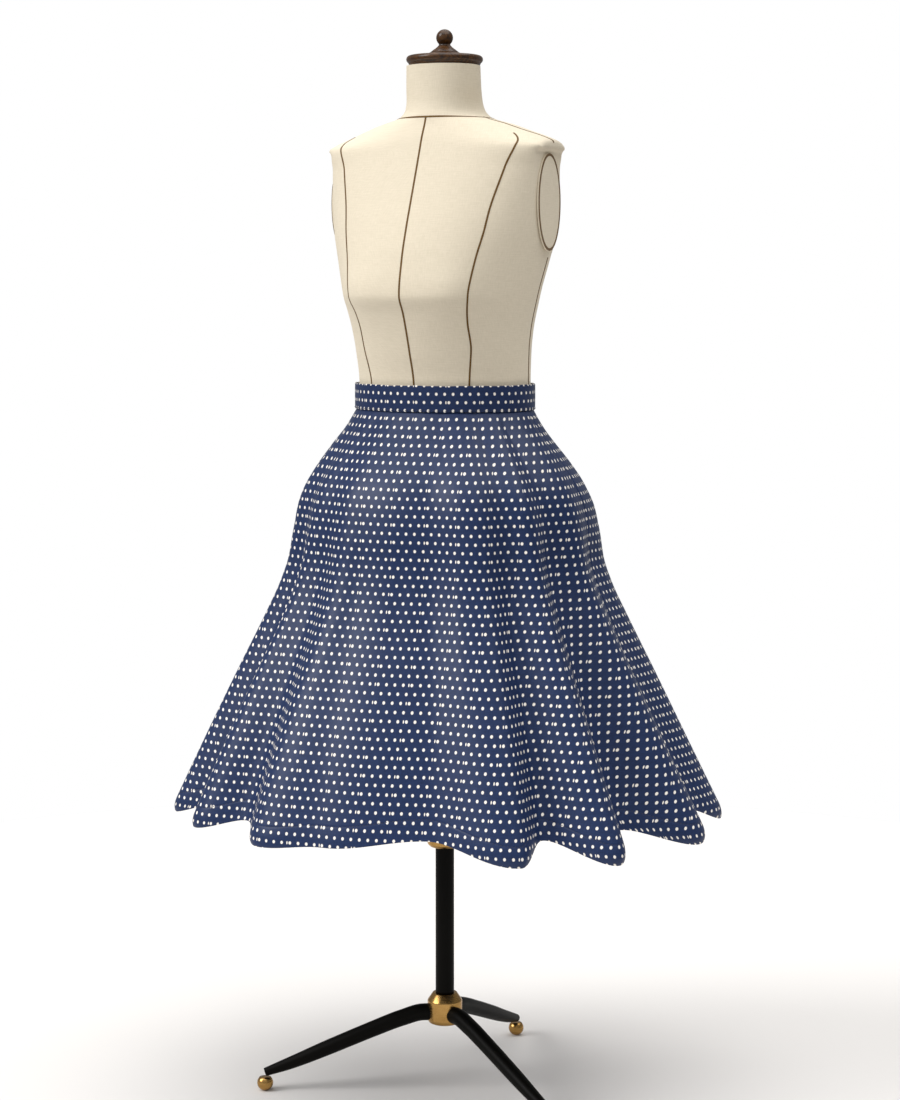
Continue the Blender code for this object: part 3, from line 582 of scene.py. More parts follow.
def panel_sheet(first_line, last_line):
    """A panel's outer rows, its inner rows and its pattern coordinates."""
    first, last = seam_numbers(first_line, last_line)
    station = panel_stations(first, last, drops)
    form, bearing = skirt_form(station, drops)
    outer = creased(form, bearing)
    push = np.repeat(hem_groove(drops), outer.shape[1], axis=1)
    push[:, : len(SEAM_ROLL)] -= SEAM_ROLL
    push[:, -len(SEAM_ROLL) :] -= SEAM_ROLL[::-1]
    normals = outwards(form)
    outer = outer + normals * push[..., None]
    doubled = 1 / (1 + np.exp(-(drops - STITCH_DROP) / 0.0015))
    thickness = CLOTH + (HEM_CLOTH - CLOTH) * doubled
    inner = outer - normals * thickness[..., None]
    lean = column_at(list(PRINT_LINE), list(PRINT_LINE.values()), form[..., 2]) / 1000
    run = distance_round(station, drops)
    if last - first < len(FOLD_LINES) / 3:
        run = run - run[:, run.shape[1] // 2, None]  # a back panel is cut by its own middle
    uv = np.stack([run - lean, form[..., 2]], axis=-1)
    level = unit(np.cross(normals, [0.0, 0.0, 1.0]))
    if (np.gradient(form, axis=1) * level).sum() < 0:
        level = -level
    slid = (np.gradient(form, axis=0) * level).sum(axis=-1)
    shear = (np.gradient(uv[..., 0], axis=0) - slid) / np.gradient(form[..., 2], axis=0)
    return outer, inner, uv, shear


panel_sheets = {name: panel_sheet(*lines[:2]) for name, lines in PANELS.items()}
for name, (outer, _, uv, shear) in panel_sheets.items():
    print(name, "shear up to", round(float(np.abs(shear).max()), 2))
    print(name, outer.shape[:2], "hem runs from", [round(float(u), 3) for u in uv[-1, [0, -1], 0]])

# %% [markdown]
# ## Printed cotton poplin
# The cloth is a navy cotton poplin with off-white dots. Poplin is a plain weave of fine
# threads, pressed nearly smooth, so the shader has a broad low gloss and hardly any sheen.
# The dots sit in rows a fixed pitch apart, every second row moved by half a pitch, and in
# those rows each fourth dot is printed double. All of it is arithmetic on the cloth's own
# coordinates, so the print follows the folds.

# %% Dotted cotton
DOT_PITCH = 0.0112  # along a row
ROW_PITCH = 0.01108
DOT_HALF_WIDTH = 0.00178
DOT_HALF_HEIGHT = 0.00205
DOT_BLUR = 0.24  # share of the dot over which its printed edge softens
TWIN_ASIDE = -0.0039
TWIN_HALF_WIDTH = 0.00080
TWIN_EVERY = 4
ROW_HEIGHT = 0.9735  # a row without twins runs at this height
THREAD = 0.0009  # poplin has a thread every 0.35 mm; drawn coarser, so that it shows


def dotted_cotton(name, print_shift):
    """Navy poplin whose print starts print_shift metres round from the centre front."""
    made, tree, shader = new_finish(
        name,
        {
            "Roughness": 0.44,
            "Specular IOR Level": 0.30,
            "Sheen Weight": 0.015,
            "Sheen Roughness": 0.5,
            "Sheen Tint": linear("#E6E4E0"),
        },
    )
    cut = add(tree, "ShaderNodeUVMap", uv_map="cut")
    place = add(tree, "ShaderNodeSeparateXYZ", {0: cut})
    row_place = add(tree, "ShaderNodeMath", {0: place.outputs["Y"], 1: ROW_HEIGHT}, operation="SUBTRACT")
    rows = add(tree, "ShaderNodeMath", {0: row_place, 1: ROW_PITCH}, operation="DIVIDE")
    row = add(tree, "ShaderNodeMath", {0: rows}, operation="ROUND")
    odd = add(tree, "ShaderNodeMath", {0: row, 1: 2.0}, operation="FLOORED_MODULO")
    up = add(tree, "ShaderNodeMath", {0: rows, 1: row}, operation="SUBTRACT")
    rise = add(tree, "ShaderNodeMath", {0: up, 1: ROW_PITCH}, operation="MULTIPLY")
    up = add(tree, "ShaderNodeMath", {0: up, 1: ROW_PITCH / DOT_HALF_HEIGHT}, operation="MULTIPLY")

    shifted = add(tree, "ShaderNodeMath", {0: place.outputs["X"], 1: print_shift}, operation="SUBTRACT")
    dots = add(tree, "ShaderNodeMath", {0: shifted, 1: DOT_PITCH}, operation="DIVIDE")
    staggered = add(tree, "ShaderNodeMath", {0: odd, 1: 0.5, 2: dots}, operation="MULTIPLY_ADD")
    column = add(tree, "ShaderNodeMath", {0: staggered}, operation="ROUND")
    aside = add(tree, "ShaderNodeMath", {0: staggered, 1: column}, operation="SUBTRACT")
    aside = add(tree, "ShaderNodeMath", {0: aside, 1: DOT_PITCH}, operation="MULTIPLY")
    shear = add(tree, "ShaderNodeAttribute", attribute_name="shear").outputs["Fac"]
    slip = add(tree, "ShaderNodeMath", {0: rise, 1: shear}, operation="MULTIPLY")
    aside = add(tree, "ShaderNodeMath", {0: aside, 1: slip}, operation="SUBTRACT")

    inks = []
    for shift, half_width in ((0.0, DOT_HALF_WIDTH), (TWIN_ASIDE, TWIN_HALF_WIDTH)):
        off = add(tree, "ShaderNodeMath", {0: aside, 1: shift}, operation="SUBTRACT")
        off = add(tree, "ShaderNodeMath", {0: off, 1: 1 / half_width}, operation="MULTIPLY")
        square = add(tree, "ShaderNodeMath", {0: up, 1: up}, operation="MULTIPLY")
        reach = add(tree, "ShaderNodeMath", {0: off, 1: off, 2: square}, operation="MULTIPLY_ADD")
        reach = add(tree, "ShaderNodeMath", {0: reach}, operation="SQRT")
        inks.append(
            add(
                tree,
                "ShaderNodeMapRange",
                {
                    "Value": reach,
                    "From Min": 1 + DOT_BLUR,
                    "From Max": 1 - DOT_BLUR,
                    "To Min": 0.0,
                    "To Max": 1.0,
                },
                interpolation_type="SMOOTHSTEP",
            )
        )
    fourth = add(tree, "ShaderNodeMath", {0: column, 1: TWIN_EVERY}, operation="FLOORED_MODULO")
    fourth = add(tree, "ShaderNodeMath", {0: fourth, 1: 1.0, 2: 0.5}, operation="COMPARE")
    twin = add(tree, "ShaderNodeMath", {0: odd, 1: fourth}, operation="MULTIPLY")
    twin = add(tree, "ShaderNodeMath", {0: twin, 1: inks[1]}, operation="MULTIPLY")
    ink = add(tree, "ShaderNodeMath", {0: inks[0], 1: twin}, operation="MAXIMUM")

    threads = []
    for stretch in ((1 / THREAD, 0.06 / THREAD, 1), (0.06 / THREAD, 1 / THREAD, 1)):
        grain = add(tree, "ShaderNodeMapping", {"Vector": cut, "Scale": stretch})
        threads.append(add(tree, "ShaderNodeTexNoise", {"Vector": grain, "Scale": 1.0, "Detail": 2.0}))
    weave = add(tree, "ShaderNodeMath", {0: threads[0], 1: threads[1]}, operation="ADD")
    tone = add(
        tree,
        "ShaderNodeMapRange",
        {"Value": weave, "From Min": 0.75, "From Max": 1.25, "To Min": 0.0, "To Max": 1.0},
    )
    navy = add(
        tree,
        "ShaderNodeMix",
        {0: tone, 6: linear("#15264A"), 7: linear("#1C3059")},
        data_type="RGBA",
    )
    white = add(
        tree, "ShaderNodeMix", {0: tone, 6: linear("#F6EEE2"), 7: linear("#FFFBF4")}, data_type="RGBA"
    )
    cloth = add(tree, "ShaderNodeMix", {0: ink, 6: navy.outputs[2], 7: white.outputs[2]}, data_type="RGBA")
    bump = add(tree, "ShaderNodeBump", {"Height": weave, "Strength": 0.22, "Distance": 0.0002})
    tree.links.new(cloth.outputs[2], shader.inputs["Base Color"])
    tree.links.new(bump.outputs[0], shader.inputs["Normal"])
    return made


skirt_cotton = dotted_cotton("printed cotton poplin", print_shift=0.0)
band_cotton = dotted_cotton("printed cotton poplin, band", print_shift=0.0010)

PRINT_UPRIGHT = 0.5  # share of the print's lean that is taken out of each dot

panels = {}
for name, (outer, inner, uv, shear) in panel_sheets.items():
    panels[name] = wall(name, outer, inner, skirt_cotton, uv)
    layers = np.concatenate([shear, *[shear[-1:]] * 4, shear[::-1]])
    slant = panels[name].data.attributes.new("shear", "FLOAT", "POINT")
    slant.data.foreach_set("value", (PRINT_UPRIGHT * layers).astype(np.float32).ravel())
    fit(panels[name], "form", PANELS[name][2])
    print(name, triangles(panels[name]), "triangles")

# %% [markdown]
# ## The waistband
# The band is a straight strip, folded along its top and pressed. It goes once round the waist
# from the centre back, and its fastened end climbs onto the other end and laps over it. The
# strip's cross-section has rounded long edges, and the sheet of points is the cross-section
# carried along the band.

# %% Waistband
BAND_TOP = 0.9843
BAND_BOTTOM = 0.9493
BAND_WALL = 0.0022
BAND_OVERLAP = 17.0
BAND_RISE = 18.0
BAND_ROUND = 0.0010
BAND_START = 180.0
GAP = 0.0003
BAND = Section(BAND_TOP, 0.1265, 0.1030, 0.1020, 2.0, 0.0)


def band_lift(bearing):
    """How far the lapping end has climbed onto the other end."""
    climb = np.clip((bearing - BAND_START - 360 + BAND_RISE + 3) / BAND_RISE, 0, 1)
    return (BAND_WALL + 2 * GAP) * climb * climb * (3 - 2 * climb)


def band_point(bearing, inwards, height):
    """A point of the band, inwards from its outer face; its edges waver a little, as sewn."""
    waver = 0.00022 * np.sin(np.radians(bearing) * 9 + 1) + 0.00016 * np.sin(np.radians(bearing) * 23)
    return at_bearing(ring_radius(BAND, bearing) + band_lift(bearing) - inwards, bearing, height + waver)


def band_profile():
    """(inwards, height) round the band's cross-section: down the outer face and back up."""
    rim = [
        (BAND_ROUND * (1 - math.cos(a)), BAND_ROUND * (1 - math.sin(a))) for a in np.radians([70, 45, 20, 0])
    ]
    face = [
        (
            -0.00018 * math.sin(math.pi * t),
            BAND_TOP - BAND_ROUND - (BAND_TOP - BAND_BOTTOM - 2 * BAND_ROUND) * t,
        )
        for t in np.linspace(0.1, 0.9, 9)
    ]
    outer = [(inwards, BAND_TOP - down) for inwards, down in rim] + face
    outer += [(inwards, BAND_BOTTOM + down) for inwards, down in reversed(rim)]
    return outer, [(BAND_WALL - inwards, height) for inwards, height in reversed(outer)]


band_bearings = np.linspace(BAND_START + 0.1, BAND_START + 360 + BAND_OVERLAP, 420)
outer_profile, inner_profile = band_profile()
band_outer = np.array([band_point(band_bearings, inwards, height) for inwards, height in outer_profile])
band_inner = np.array(
    [band_point(band_bearings, inwards, height) for inwards, height in reversed(inner_profile)]
)
middle_row = band_outer[len(band_outer) // 2]
band_run = np.concatenate([[0], np.cumsum(np.linalg.norm(np.diff(middle_row, axis=0), axis=1))])
band_run -= np.interp(360, band_bearings, band_run)
band_uv = np.stack(np.broadcast_arrays(band_run[None, :], band_outer[..., 2]), axis=-1)
waistband = wall("waistband_strip", band_outer, band_inner, band_cotton, band_uv, roll=0.3)
fit(waistband, "form", "waistband")
print("band", round(float(band_run[-1] - band_run[0]), 3), "m long,", triangles(waistband), "triangles")

# %% [markdown]
# ## Growing stitches with Geometry Nodes
# Stitches, tapes and zip teeth repeat along a path, so they are grown by Geometry Nodes: the
# path is a line of points, and the tree puts a small shape on it again and again. Each size
# is a named input of the tree. When the result is right it is turned into a plain mesh, since
# the finished model carries meshes and not modifiers.


# %% Growing
def new_tree(name, sizes):
    """A Geometry Nodes tree with a geometry input, named sizes, a finish and a geometry output."""
    tree = bpy.data.node_groups.new(name, "GeometryNodeTree")
    tree.interface.new_socket("Geometry", in_out="INPUT", socket_type="NodeSocketGeometry")
    for label, size in sizes.items():
        kind = "NodeSocketInt" if isinstance(size, int) else "NodeSocketFloat"
        tree.interface.new_socket(label, in_out="INPUT", socket_type=kind).default_value = size
    tree.interface.new_socket("Finish", in_out="INPUT", socket_type="NodeSocketMaterial")
    tree.interface.new_socket("Geometry", in_out="OUTPUT", socket_type="NodeSocketGeometry")
    return tree, add(tree, "NodeGroupInput").outputs


def end_tree(tree, instances, finish):
    """Every tree ends the same way: real geometry, smooth, with its finish set."""
    real = add(tree, "GeometryNodeRealizeInstances", {0: instances})
    smooth = add(tree, "GeometryNodeSetShadeSmooth", {0: real})
    dressed = add(tree, "GeometryNodeSetMaterial", {"Geometry": smooth, "Material": finish})
    add(tree, "NodeGroupOutput", {0: dressed})


def grow(name, path, tree, finish, outs=None, closed=False, **sizes):
    """Run a tree on a path of points and keep its result as a plain mesh object."""
    line = bpy.data.meshes.new(name)
    count = len(path)
    edges = [(n, (n + 1) % count) for n in range(count if closed else count - 1)]
    line.from_pydata(np.asarray(path, float).tolist(), edges, [])
    if outs is not None:
        line.attributes.new("out", "FLOAT_VECTOR", "POINT").data.foreach_set(
            "vector", np.asarray(outs, np.float32).ravel()
        )
    holder = bpy.data.objects.new(name + "_path", line)
    bpy.context.scene.collection.objects.link(holder)
    growth = holder.modifiers.new("Growth", "NODES")
    growth.node_group = tree
    for socket in tree.interface.items_tree:
        if socket.in_out == "INPUT" and socket.name == "Finish":
            growth[socket.identifier] = finish
        elif socket.in_out == "INPUT" and socket.name.replace(" ", "_").lower() in sizes:
            growth[socket.identifier] = sizes[socket.name.replace(" ", "_").lower()]
    evaluated = holder.evaluated_get(bpy.context.evaluated_depsgraph_get())
    mesh = bpy.data.meshes.new_from_object(evaluated)
    mesh.name = name
    bpy.data.objects.remove(holder, do_unlink=True)
    if not mesh.materials:
        mesh.materials.append(finish)
    made = bpy.data.objects.new(name, mesh)
    bpy.context.scene.collection.objects.link(made)
    return made


def stitch_tree():
    """A running stitch: short rounded threads that follow a seam, each a little different."""
    tree, sizes = new_tree(
        "running stitch", {"Stitch length": 0.0030, "Pitch": 0.0045, "Thread": 0.0004, "Seed": 3}
    )
    curve = add(tree, "GeometryNodeMeshToCurve", {0: sizes["Geometry"]})
    points = add(tree, "GeometryNodeResampleCurve", {"Curve": curve, "Length": sizes["Pitch"]}, mode="LENGTH")
    along = add(tree, "GeometryNodeInputTangent")
    facing = add(tree, "FunctionNodeAlignRotationToVector", {"Vector": along}, axis="Z")
    bead = add(tree, "GeometryNodeMeshUVSphere", {"Segments": 6, "Rings": 5, "Radius": 1.0})
    half = add(tree, "ShaderNodeMath", {0: sizes["Stitch length"], 1: 0.5}, operation="MULTIPLY")
    size = add(tree, "ShaderNodeCombineXYZ", {0: sizes["Thread"], 1: sizes["Thread"], 2: half})
    vary = add(tree, "FunctionNodeRandomValue", {2: 0.86, 3: 1.08, "Seed": sizes["Seed"]}, data_type="FLOAT")
    size = add(tree, "ShaderNodeVectorMath", {0: size, "Scale": vary.outputs[1]}, operation="SCALE")
    laid = add(
        tree,
        "GeometryNodeInstanceOnPoints",
        {"Points": points, "Instance": bead, "Rotation": facing, "Scale": size},
    )
    end_tree(tree, laid, sizes["Finish"])
    return tree


stitches = stitch_tree()
print("stitch inputs:", [item.name for item in stitches.interface.items_tree if item.in_out == "INPUT"])

# %% [markdown]
# ## Hem and band stitching
# The hem is turned up once and held by a row of machine stitches in a darker navy thread,
# 26 mm above the edge. They show as fine dark dashes. The same thread runs close above the
# band's lower edge. Polyester thread has a faint lustre, and its twist is too fine to show.

# %% Stitches
thread_navy, _, _ = new_finish(
    "polyester sewing thread",
    {"Base Color": linear("#10183A"), "Roughness": 0.6, "Sheen Weight": 0.2, "Sheen Roughness": 0.5},
)
THREAD_PROUD = 0.00005

for name in PANELS:
    first, last = seam_numbers(*PANELS[name][:2])
    station = np.linspace(first + 0.03, last - 0.03, (last - first) * 40)[None, :]
    strip_drops = np.array([STITCH_DROP - 0.002, STITCH_DROP, STITCH_DROP + 0.002])[:, None]
    strip, bearing = skirt_form(station, strip_drops)
    strip = creased(strip, bearing)
    line = strip[1] + outwards(strip)[1] * (THREAD_PROUD - HEM_GROOVE)
    row = grow(
        name + "_hem_stitches",
        line,
        stitches,
        thread_navy,
        stitch_length=0.0030,
        pitch=0.0047,
        thread=0.00042,
    )
    fit(row, "form")
    panels[name + "_stitches"] = row
    print(row.name, triangles(row), "triangles")

seam_bearings = np.linspace(BAND_START + 2, BAND_START + 360 + BAND_OVERLAP - 1, 400)
seam_row = band_point(seam_bearings, -0.00025, BAND_BOTTOM + 0.0021)
band_stitches = grow(
    "waistband_stitches", seam_row, stitches, thread_navy, stitch_length=0.0034, pitch=0.0056, thread=0.00055
)
fit(band_stitches, "form")
print("band stitches", triangles(band_stitches), "triangles")

# %% [markdown]
# ## The zip in the centre back seam
# The zip is sewn behind the two back panels, so that the pressed edges of the seam meet over
# its coil, and it is shown closed. The woven tape is a thin wall that follows the seam from
# inside. The coil's turns repeat along it, alternately from the left and from the right, so
# a small tree grows them. A row of topstitching on each side of the seam holds the tape.

# %% Zip tape, coil and topstitching
ZIP_LENGTH = 0.190
ZIP_TAPE_WIDTH = 0.026
ZIP_TAPE_WALL = 0.0006
ZIP_TAPE_TOP = 0.004
ZIP_BEHIND = 0.0029  # from the skirt's outer face to the outer face of the tape
COIL_PITCH = 0.0020
TOPSTITCH_ASIDE = 0.0062
BACK_SEAM = LINE_NUMBER["centre back seam"]
WAVE_REPEAT = 0.314  # of a wave texture of scale 1 along an axis; its diagonal bands are 1.41 as wide
TWILL_RIB = 0.0012  # so the diagonal ribs are 1.7 mm wide; real ones are finer, and these are drawn coarser

tape_twill, tree, shader = new_finish("polyester zip tape", {"Roughness": 0.75, "Sheen Weight": 0.3})
cut = add(tree, "ShaderNodeUVMap", uv_map="cut")
ribs = add(
    tree, "ShaderNodeTexWave", {"Vector": cut, "Scale": WAVE_REPEAT / TWILL_RIB}, bands_direction="DIAGONAL"
)
tone = add(tree, "ShaderNodeMix", {0: ribs, 6: linear("#141D3C"), 7: linear("#22305A")}, data_type="RGBA")
tree.links.new(tone.outputs[2], shader.inputs["Base Color"])

coil_navy, _, _ = new_finish("nylon zip coil", {"Base Color": linear("#1B2647"), "Roughness": 0.35})


def beside_seam(below_top, aside, out):
    """Points beside the centre back seam: below the skirt's top, aside along the cloth, out of it."""
    below_top, aside, out = np.broadcast_arrays(np.asarray(below_top, float), aside, out)
    drop = below_top / (SKIRT_TOP - LINE_VALUES[BACK_SEAM, 4])
    step = 1e-3
    across = skirt_form(BACK_SEAM + step, drop)[0] - skirt_form(BACK_SEAM - step, drop)[0]
    per_metre = 2 * step / np.linalg.norm(across, axis=-1)
    station = BACK_SEAM + aside * per_metre
    place = skirt_form(station, drop)[0]
    down = skirt_form(station, drop + step)[0] - place
    along = skirt_form(station + step, drop)[0] - place
    return place + unit(np.cross(down, along)) * out[..., None]


tape_rows = np.linspace(ZIP_TAPE_TOP, ZIP_TAPE_TOP + ZIP_LENGTH, 64)[:, None]
tape_columns = np.linspace(-ZIP_TAPE_WIDTH / 2, ZIP_TAPE_WIDTH / 2, 21)[None, :]
tape_outer = beside_seam(tape_rows, tape_columns, -ZIP_BEHIND)
tape_inner = beside_seam(tape_rows, tape_columns, -ZIP_BEHIND - ZIP_TAPE_WALL)
tape_uv = np.stack(np.broadcast_arrays(tape_columns, -tape_rows), axis=-1)
zip_tape = wall("zip_tape_woven", tape_outer, tape_inner, tape_twill, tape_uv, roll=0.4)
fit(zip_tape, "form", "zip_tape")


def coil_tree():
    """Turns of a zip coil: small ovals across the path, one by one from either side."""
    tree, sizes = new_tree("zip coil", {"Pitch": 0.0010, "Reach": 0.0016, "Wire": 0.0003, "Seed": 1})
    curve = add(tree, "GeometryNodeMeshToCurve", {0: sizes["Geometry"]})
    points = add(tree, "GeometryNodeResampleCurve", {"Curve": curve, "Length": sizes["Pitch"]}, mode="LENGTH")
    facing = add(
        tree, "FunctionNodeAlignRotationToVector", {"Vector": add(tree, "GeometryNodeInputTangent")}, axis="Z"
    )
    index = add(tree, "GeometryNodeInputIndex")
    side = add(tree, "ShaderNodeMath", {0: index, 1: 2.0}, operation="MODULO")
    side = add(tree, "ShaderNodeMath", {0: side, 1: 0.5}, operation="SUBTRACT")
    aside = add(tree, "ShaderNodeMath", {0: side, 1: sizes["Reach"]}, operation="MULTIPLY")
    offset = add(tree, "ShaderNodeCombineXYZ", {0: aside})
    moved = add(tree, "GeometryNodeSetPosition", {"Geometry": points, "Offset": offset})
    bead = add(tree, "GeometryNodeMeshUVSphere", {"Segments": 8, "Rings": 5, "Radius": 1.0})
    vary = add(tree, "FunctionNodeRandomValue", {2: 0.97, 3: 1.03, "Seed": sizes["Seed"]}, data_type="FLOAT")
    size = add(tree, "ShaderNodeCombineXYZ", {0: sizes["Reach"], 1: sizes["Wire"], 2: sizes["Wire"]})
    size = add(tree, "ShaderNodeVectorMath", {0: size, "Scale": vary.outputs[1]}, operation="SCALE")
    laid = add(tree, "GeometryNodeInstanceOnPoints", {"Points": moved, "Instance": bead, "Scale": size})
    end_tree(tree, laid, sizes["Finish"])
    return tree


coil_path = beside_seam(
    np.linspace(ZIP_TAPE_TOP + 0.004, ZIP_TAPE_TOP + ZIP_LENGTH - 0.006, 80), 0.0, -ZIP_BEHIND + 0.0002
)
coil = grow("zip_coil", coil_path, coil_tree(), coil_navy, pitch=COIL_PITCH / 2, reach=0.0016, wire=0.0004)
fit(coil, "form")

topstitches = []
for name, aside in (("left", -TOPSTITCH_ASIDE), ("right", TOPSTITCH_ASIDE)):
    path = beside_seam(np.linspace(0.003, ZIP_TAPE_TOP + ZIP_LENGTH - 0.002, 120), aside, 0.00005)
    row = grow(
        "zip_topstitch_" + name,
        path,
        stitches,
        thread_navy,
        stitch_length=0.0028,
        pitch=0.0036,
        thread=0.00036,
    )
    fit(row, "form")
    topstitches.append(row)
print("coil", triangles(coil), "triangles, topstitching", sum(triangles(row) for row in topstitches))

# %% [markdown]
# ## The slider and its pull tab
# The slider is a small cast block with a wire bridge over it, and the pull tab's bar turns
# under that bridge. The tab is a body of its own, so its meshes hold nothing but the tab, and
# at rest it lies along the zip. Both are nickel plated: a near-white metal, a little rough.

# %% Slider and pull tab
SLIDER_DROP = 0.011
SLIDER = (0.0075, 0.0105, 0.0024)  # across, along the zip, out of the cloth
BRIDGE_RADIUS = 0.0032
BRIDGE_WIRE = 0.0007
TAB_AXIS_HEIGHT = 0.00120
TAB_WIDTH = 0.0070
TAB_LENGTH = 0.0240
TAB_WALL = 0.0011
TAB_BAR = 0.0012
TAB_SLOT = (0.0030, 0.0050)

nickel, tree, shader = new_finish("nickel plated zinc", {"Base Color": linear("#C9CBCC"), "Metallic": 1.0})
place = add(tree, "ShaderNodeTexCoord").outputs["Object"]
wear = add(tree, "ShaderNodeTexNoise", {"Vector": place, "Scale": 900.0, "Detail": 2.0})
rough = add(tree, "ShaderNodeMapRange", {"Value": wear, "To Min": 0.20, "To Max": 0.34})
tree.links.new(rough.outputs[0], shader.inputs["Roughness"])


def tube(name, path, radii, finish, sides=16, round_ends=True, **details):
    """A round bar through a path of points, its radius given at each point."""
    path = np.asarray(path, float)
    radii = np.broadcast_to(np.asarray(radii, float), len(path)).copy()
    along = unit(np.gradient(path, axis=0))
    lift = np.array([0.0, 0.0, 1.0]) if abs(along[:, 2]).max() < 0.95 else np.array([1.0, 0.0, 0.0])
    across = unit(np.cross(along, lift))
    upward = np.cross(across, along)
    if round_ends:
        steps = np.radians([80, 60, 40, 20])
        ends = []
        for end, way in ((0, -1), (-1, 1)):
            push = (way * radii[end] * np.sin(steps))[:, None] * along[end]
            ends.append((path[end] + push, radii[end] * np.cos(steps)))
        path = np.concatenate([ends[0][0], path, ends[1][0][::-1]])
        radii = np.concatenate([ends[0][1], radii, ends[1][1][::-1]])
        across = np.concatenate([across[:1].repeat(4, 0), across, across[-1:].repeat(4, 0)])
        upward = np.concatenate([upward[:1].repeat(4, 0), upward, upward[-1:].repeat(4, 0)])
    angles = np.linspace(0, 2 * math.pi, sides, endpoint=False)
    around = np.cos(angles)[None, :, None] * across[:, None] + np.sin(angles)[None, :, None] * upward[:, None]
    return skin(name, list(path[:, None] + around * radii[:, None, None]), finish, **details)


seam_middle = beside_seam(SLIDER_DROP, 0.0, 0.0)
seam_below = beside_seam(SLIDER_DROP + 0.02 * (SKIRT_TOP - LINE_VALUES[BACK_SEAM, 4]), 0.0, 0.0)
slider_along = Vector(unit(seam_below - seam_middle))
slider_out = Vector((1, 0, 0)).cross(slider_along).normalized()
if slider_out.y < 0:
    slider_out = -slider_out
slider_across = slider_along.cross(slider_out).normalized()
slider_turn = Matrix((slider_across, slider_along, slider_out)).transposed()
slider_origin = Vector(seam_middle) + slider_out * 3 * GAP


def on_slider(points, lift=0.0):
    """Points given as (across, along, out) of the slider, in the frame."""
    turned = np.asarray(points, float) @ np.array(slider_turn).T
    return turned + np.array(slider_origin + slider_out * lift)


def block_ring(inset, height, corners=40):
    """A ring of the slider: a rounded oblong that narrows towards its lower end."""
    angles = np.linspace(0, 2 * math.pi, corners, endpoint=False)
    across, along = np.cos(angles), np.sin(angles)
    size = (np.abs(across) ** 5 + np.abs(along) ** 5) ** (-1 / 5)
    narrow = 1 - 0.16 * (along * size + 1) / 2
    x = across * size * (SLIDER[0] / 2 - inset) * narrow
    y = along * size * (SLIDER[1] / 2 - inset)
    return np.stack([x, y, np.full(corners, height)], axis=-1)


edge = [
    (0.0006, 0.0),
    (0.0001, 0.0004),
    (0.0, 0.0009),
    (0.0, 0.0015),
    (0.0001, 0.0019),
    (0.0004, 0.0022),
    (0.0009, 0.0024),
]
slider_rings = [block_ring(inset, out) for inset, out in [(0.0015, 0.0), *edge, (0.0022, 0.0024)]]
slider_block = skin("zip_slider_block", [on_slider(ring) for ring in slider_rings], nickel)
bow = np.radians(np.linspace(0, 180, 25))
bridge_path = np.stack(
    [np.zeros(25), BRIDGE_RADIUS * np.cos(bow), SLIDER[2] - 0.0004 + BRIDGE_RADIUS * np.sin(bow)], axis=-1
)
bridge = tube("zip_slider_bridge", on_slider(bridge_path), BRIDGE_WIRE, nickel, sides=14, round_ends=False)
for piece in (slider_block, bridge):
    fit(piece, "form", "zip_slider")


def arc(centre, radius, start, end, count):
    angles = np.radians(np.linspace(start, end, count))
    return [(centre[0] + radius * math.cos(a), centre[1] + radius * math.sin(a)) for a in angles]


TAB_BEVEL = 0.0002
curve = bpy.data.curves.new("tab_outline", "CURVE")
curve.dimensions = "2D"
curve.fill_mode = "BOTH"
curve.extrude = TAB_WALL / 2 - TAB_BEVEL
curve.bevel_depth = TAB_BEVEL
curve.bevel_resolution = 2
curve.offset = -TAB_BEVEL
neck = TAB_WIDTH / 2 * 0.82
outline = [
    (-neck, -TAB_BAR / 2),
    (neck, -TAB_BAR / 2),
    *arc((0, TAB_LENGTH - TAB_WIDTH / 2), TAB_WIDTH / 2, 0, 180, 33),
]
slot_half = TAB_SLOT[0] / 2
opening = [
    (-slot_half, TAB_BAR / 2),
    (slot_half, TAB_BAR / 2),
    *arc((0, TAB_SLOT[1] - slot_half), slot_half, 0, 180, 21),
]
for path in (outline, opening):
    spline = curve.splines.new("POLY")
    spline.points.add(len(path) - 1)
    spline.use_cyclic_u = True
    for point, (across, along) in zip(spline.points, path):
        point.co = (across, along, 0.0, 1.0)
holder = bpy.data.objects.new("tab_outline", curve)
bpy.context.scene.collection.objects.link(holder)
tab_mesh = bpy.data.meshes.new_from_object(holder.evaluated_get(bpy.context.evaluated_depsgraph_get()))
bpy.data.objects.remove(holder, do_unlink=True)
tab_points = np.array([vertex.co for vertex in tab_mesh.vertices])
tab_faces = [list(face.vertices) for face in tab_mesh.polygons]
_, first, same = np.unique(np.round(tab_points, 7), axis=0, return_index=True, return_inverse=True)
tab_faces = [list(dict.fromkeys(int(same.ravel()[v]) for v in face)) for face in tab_faces]
tab_faces = [face for face in tab_faces if len(face) > 2]
tab_place = on_slider(tab_points[first], lift=SLIDER[2] + TAB_AXIS_HEIGHT)
pull_tab = show("zip_pull_tab_plate", tab_place, tab_faces, nickel, outward=True, sharp=40)
fit(pull_tab, "pull_tab", "zip_pull_tab")
print("slider, bridge and tab:", triangles(slider_block), triangles(bridge), triangles(pull_tab), "triangles")

# %% [markdown]
# ## The button and its buttonhole
# A four-hole resin button, dyed to the cloth, closes the band over the zip. Its rim stands
# proud and the face inside is dished. The holes are pressed into the face of a polar mesh,
# and two bars of thread cross between them. A dense row of stitches binds the buttonhole.

# %% Button
BUTTON_RADIUS = 0.0075
BUTTON_WALL = 0.0028
BUTTON_BEARING = 188.5
BUTTON_HEIGHT = 0.96615
HOLE_RADIUS = 0.00085
HOLE_ASIDE = 0.00145

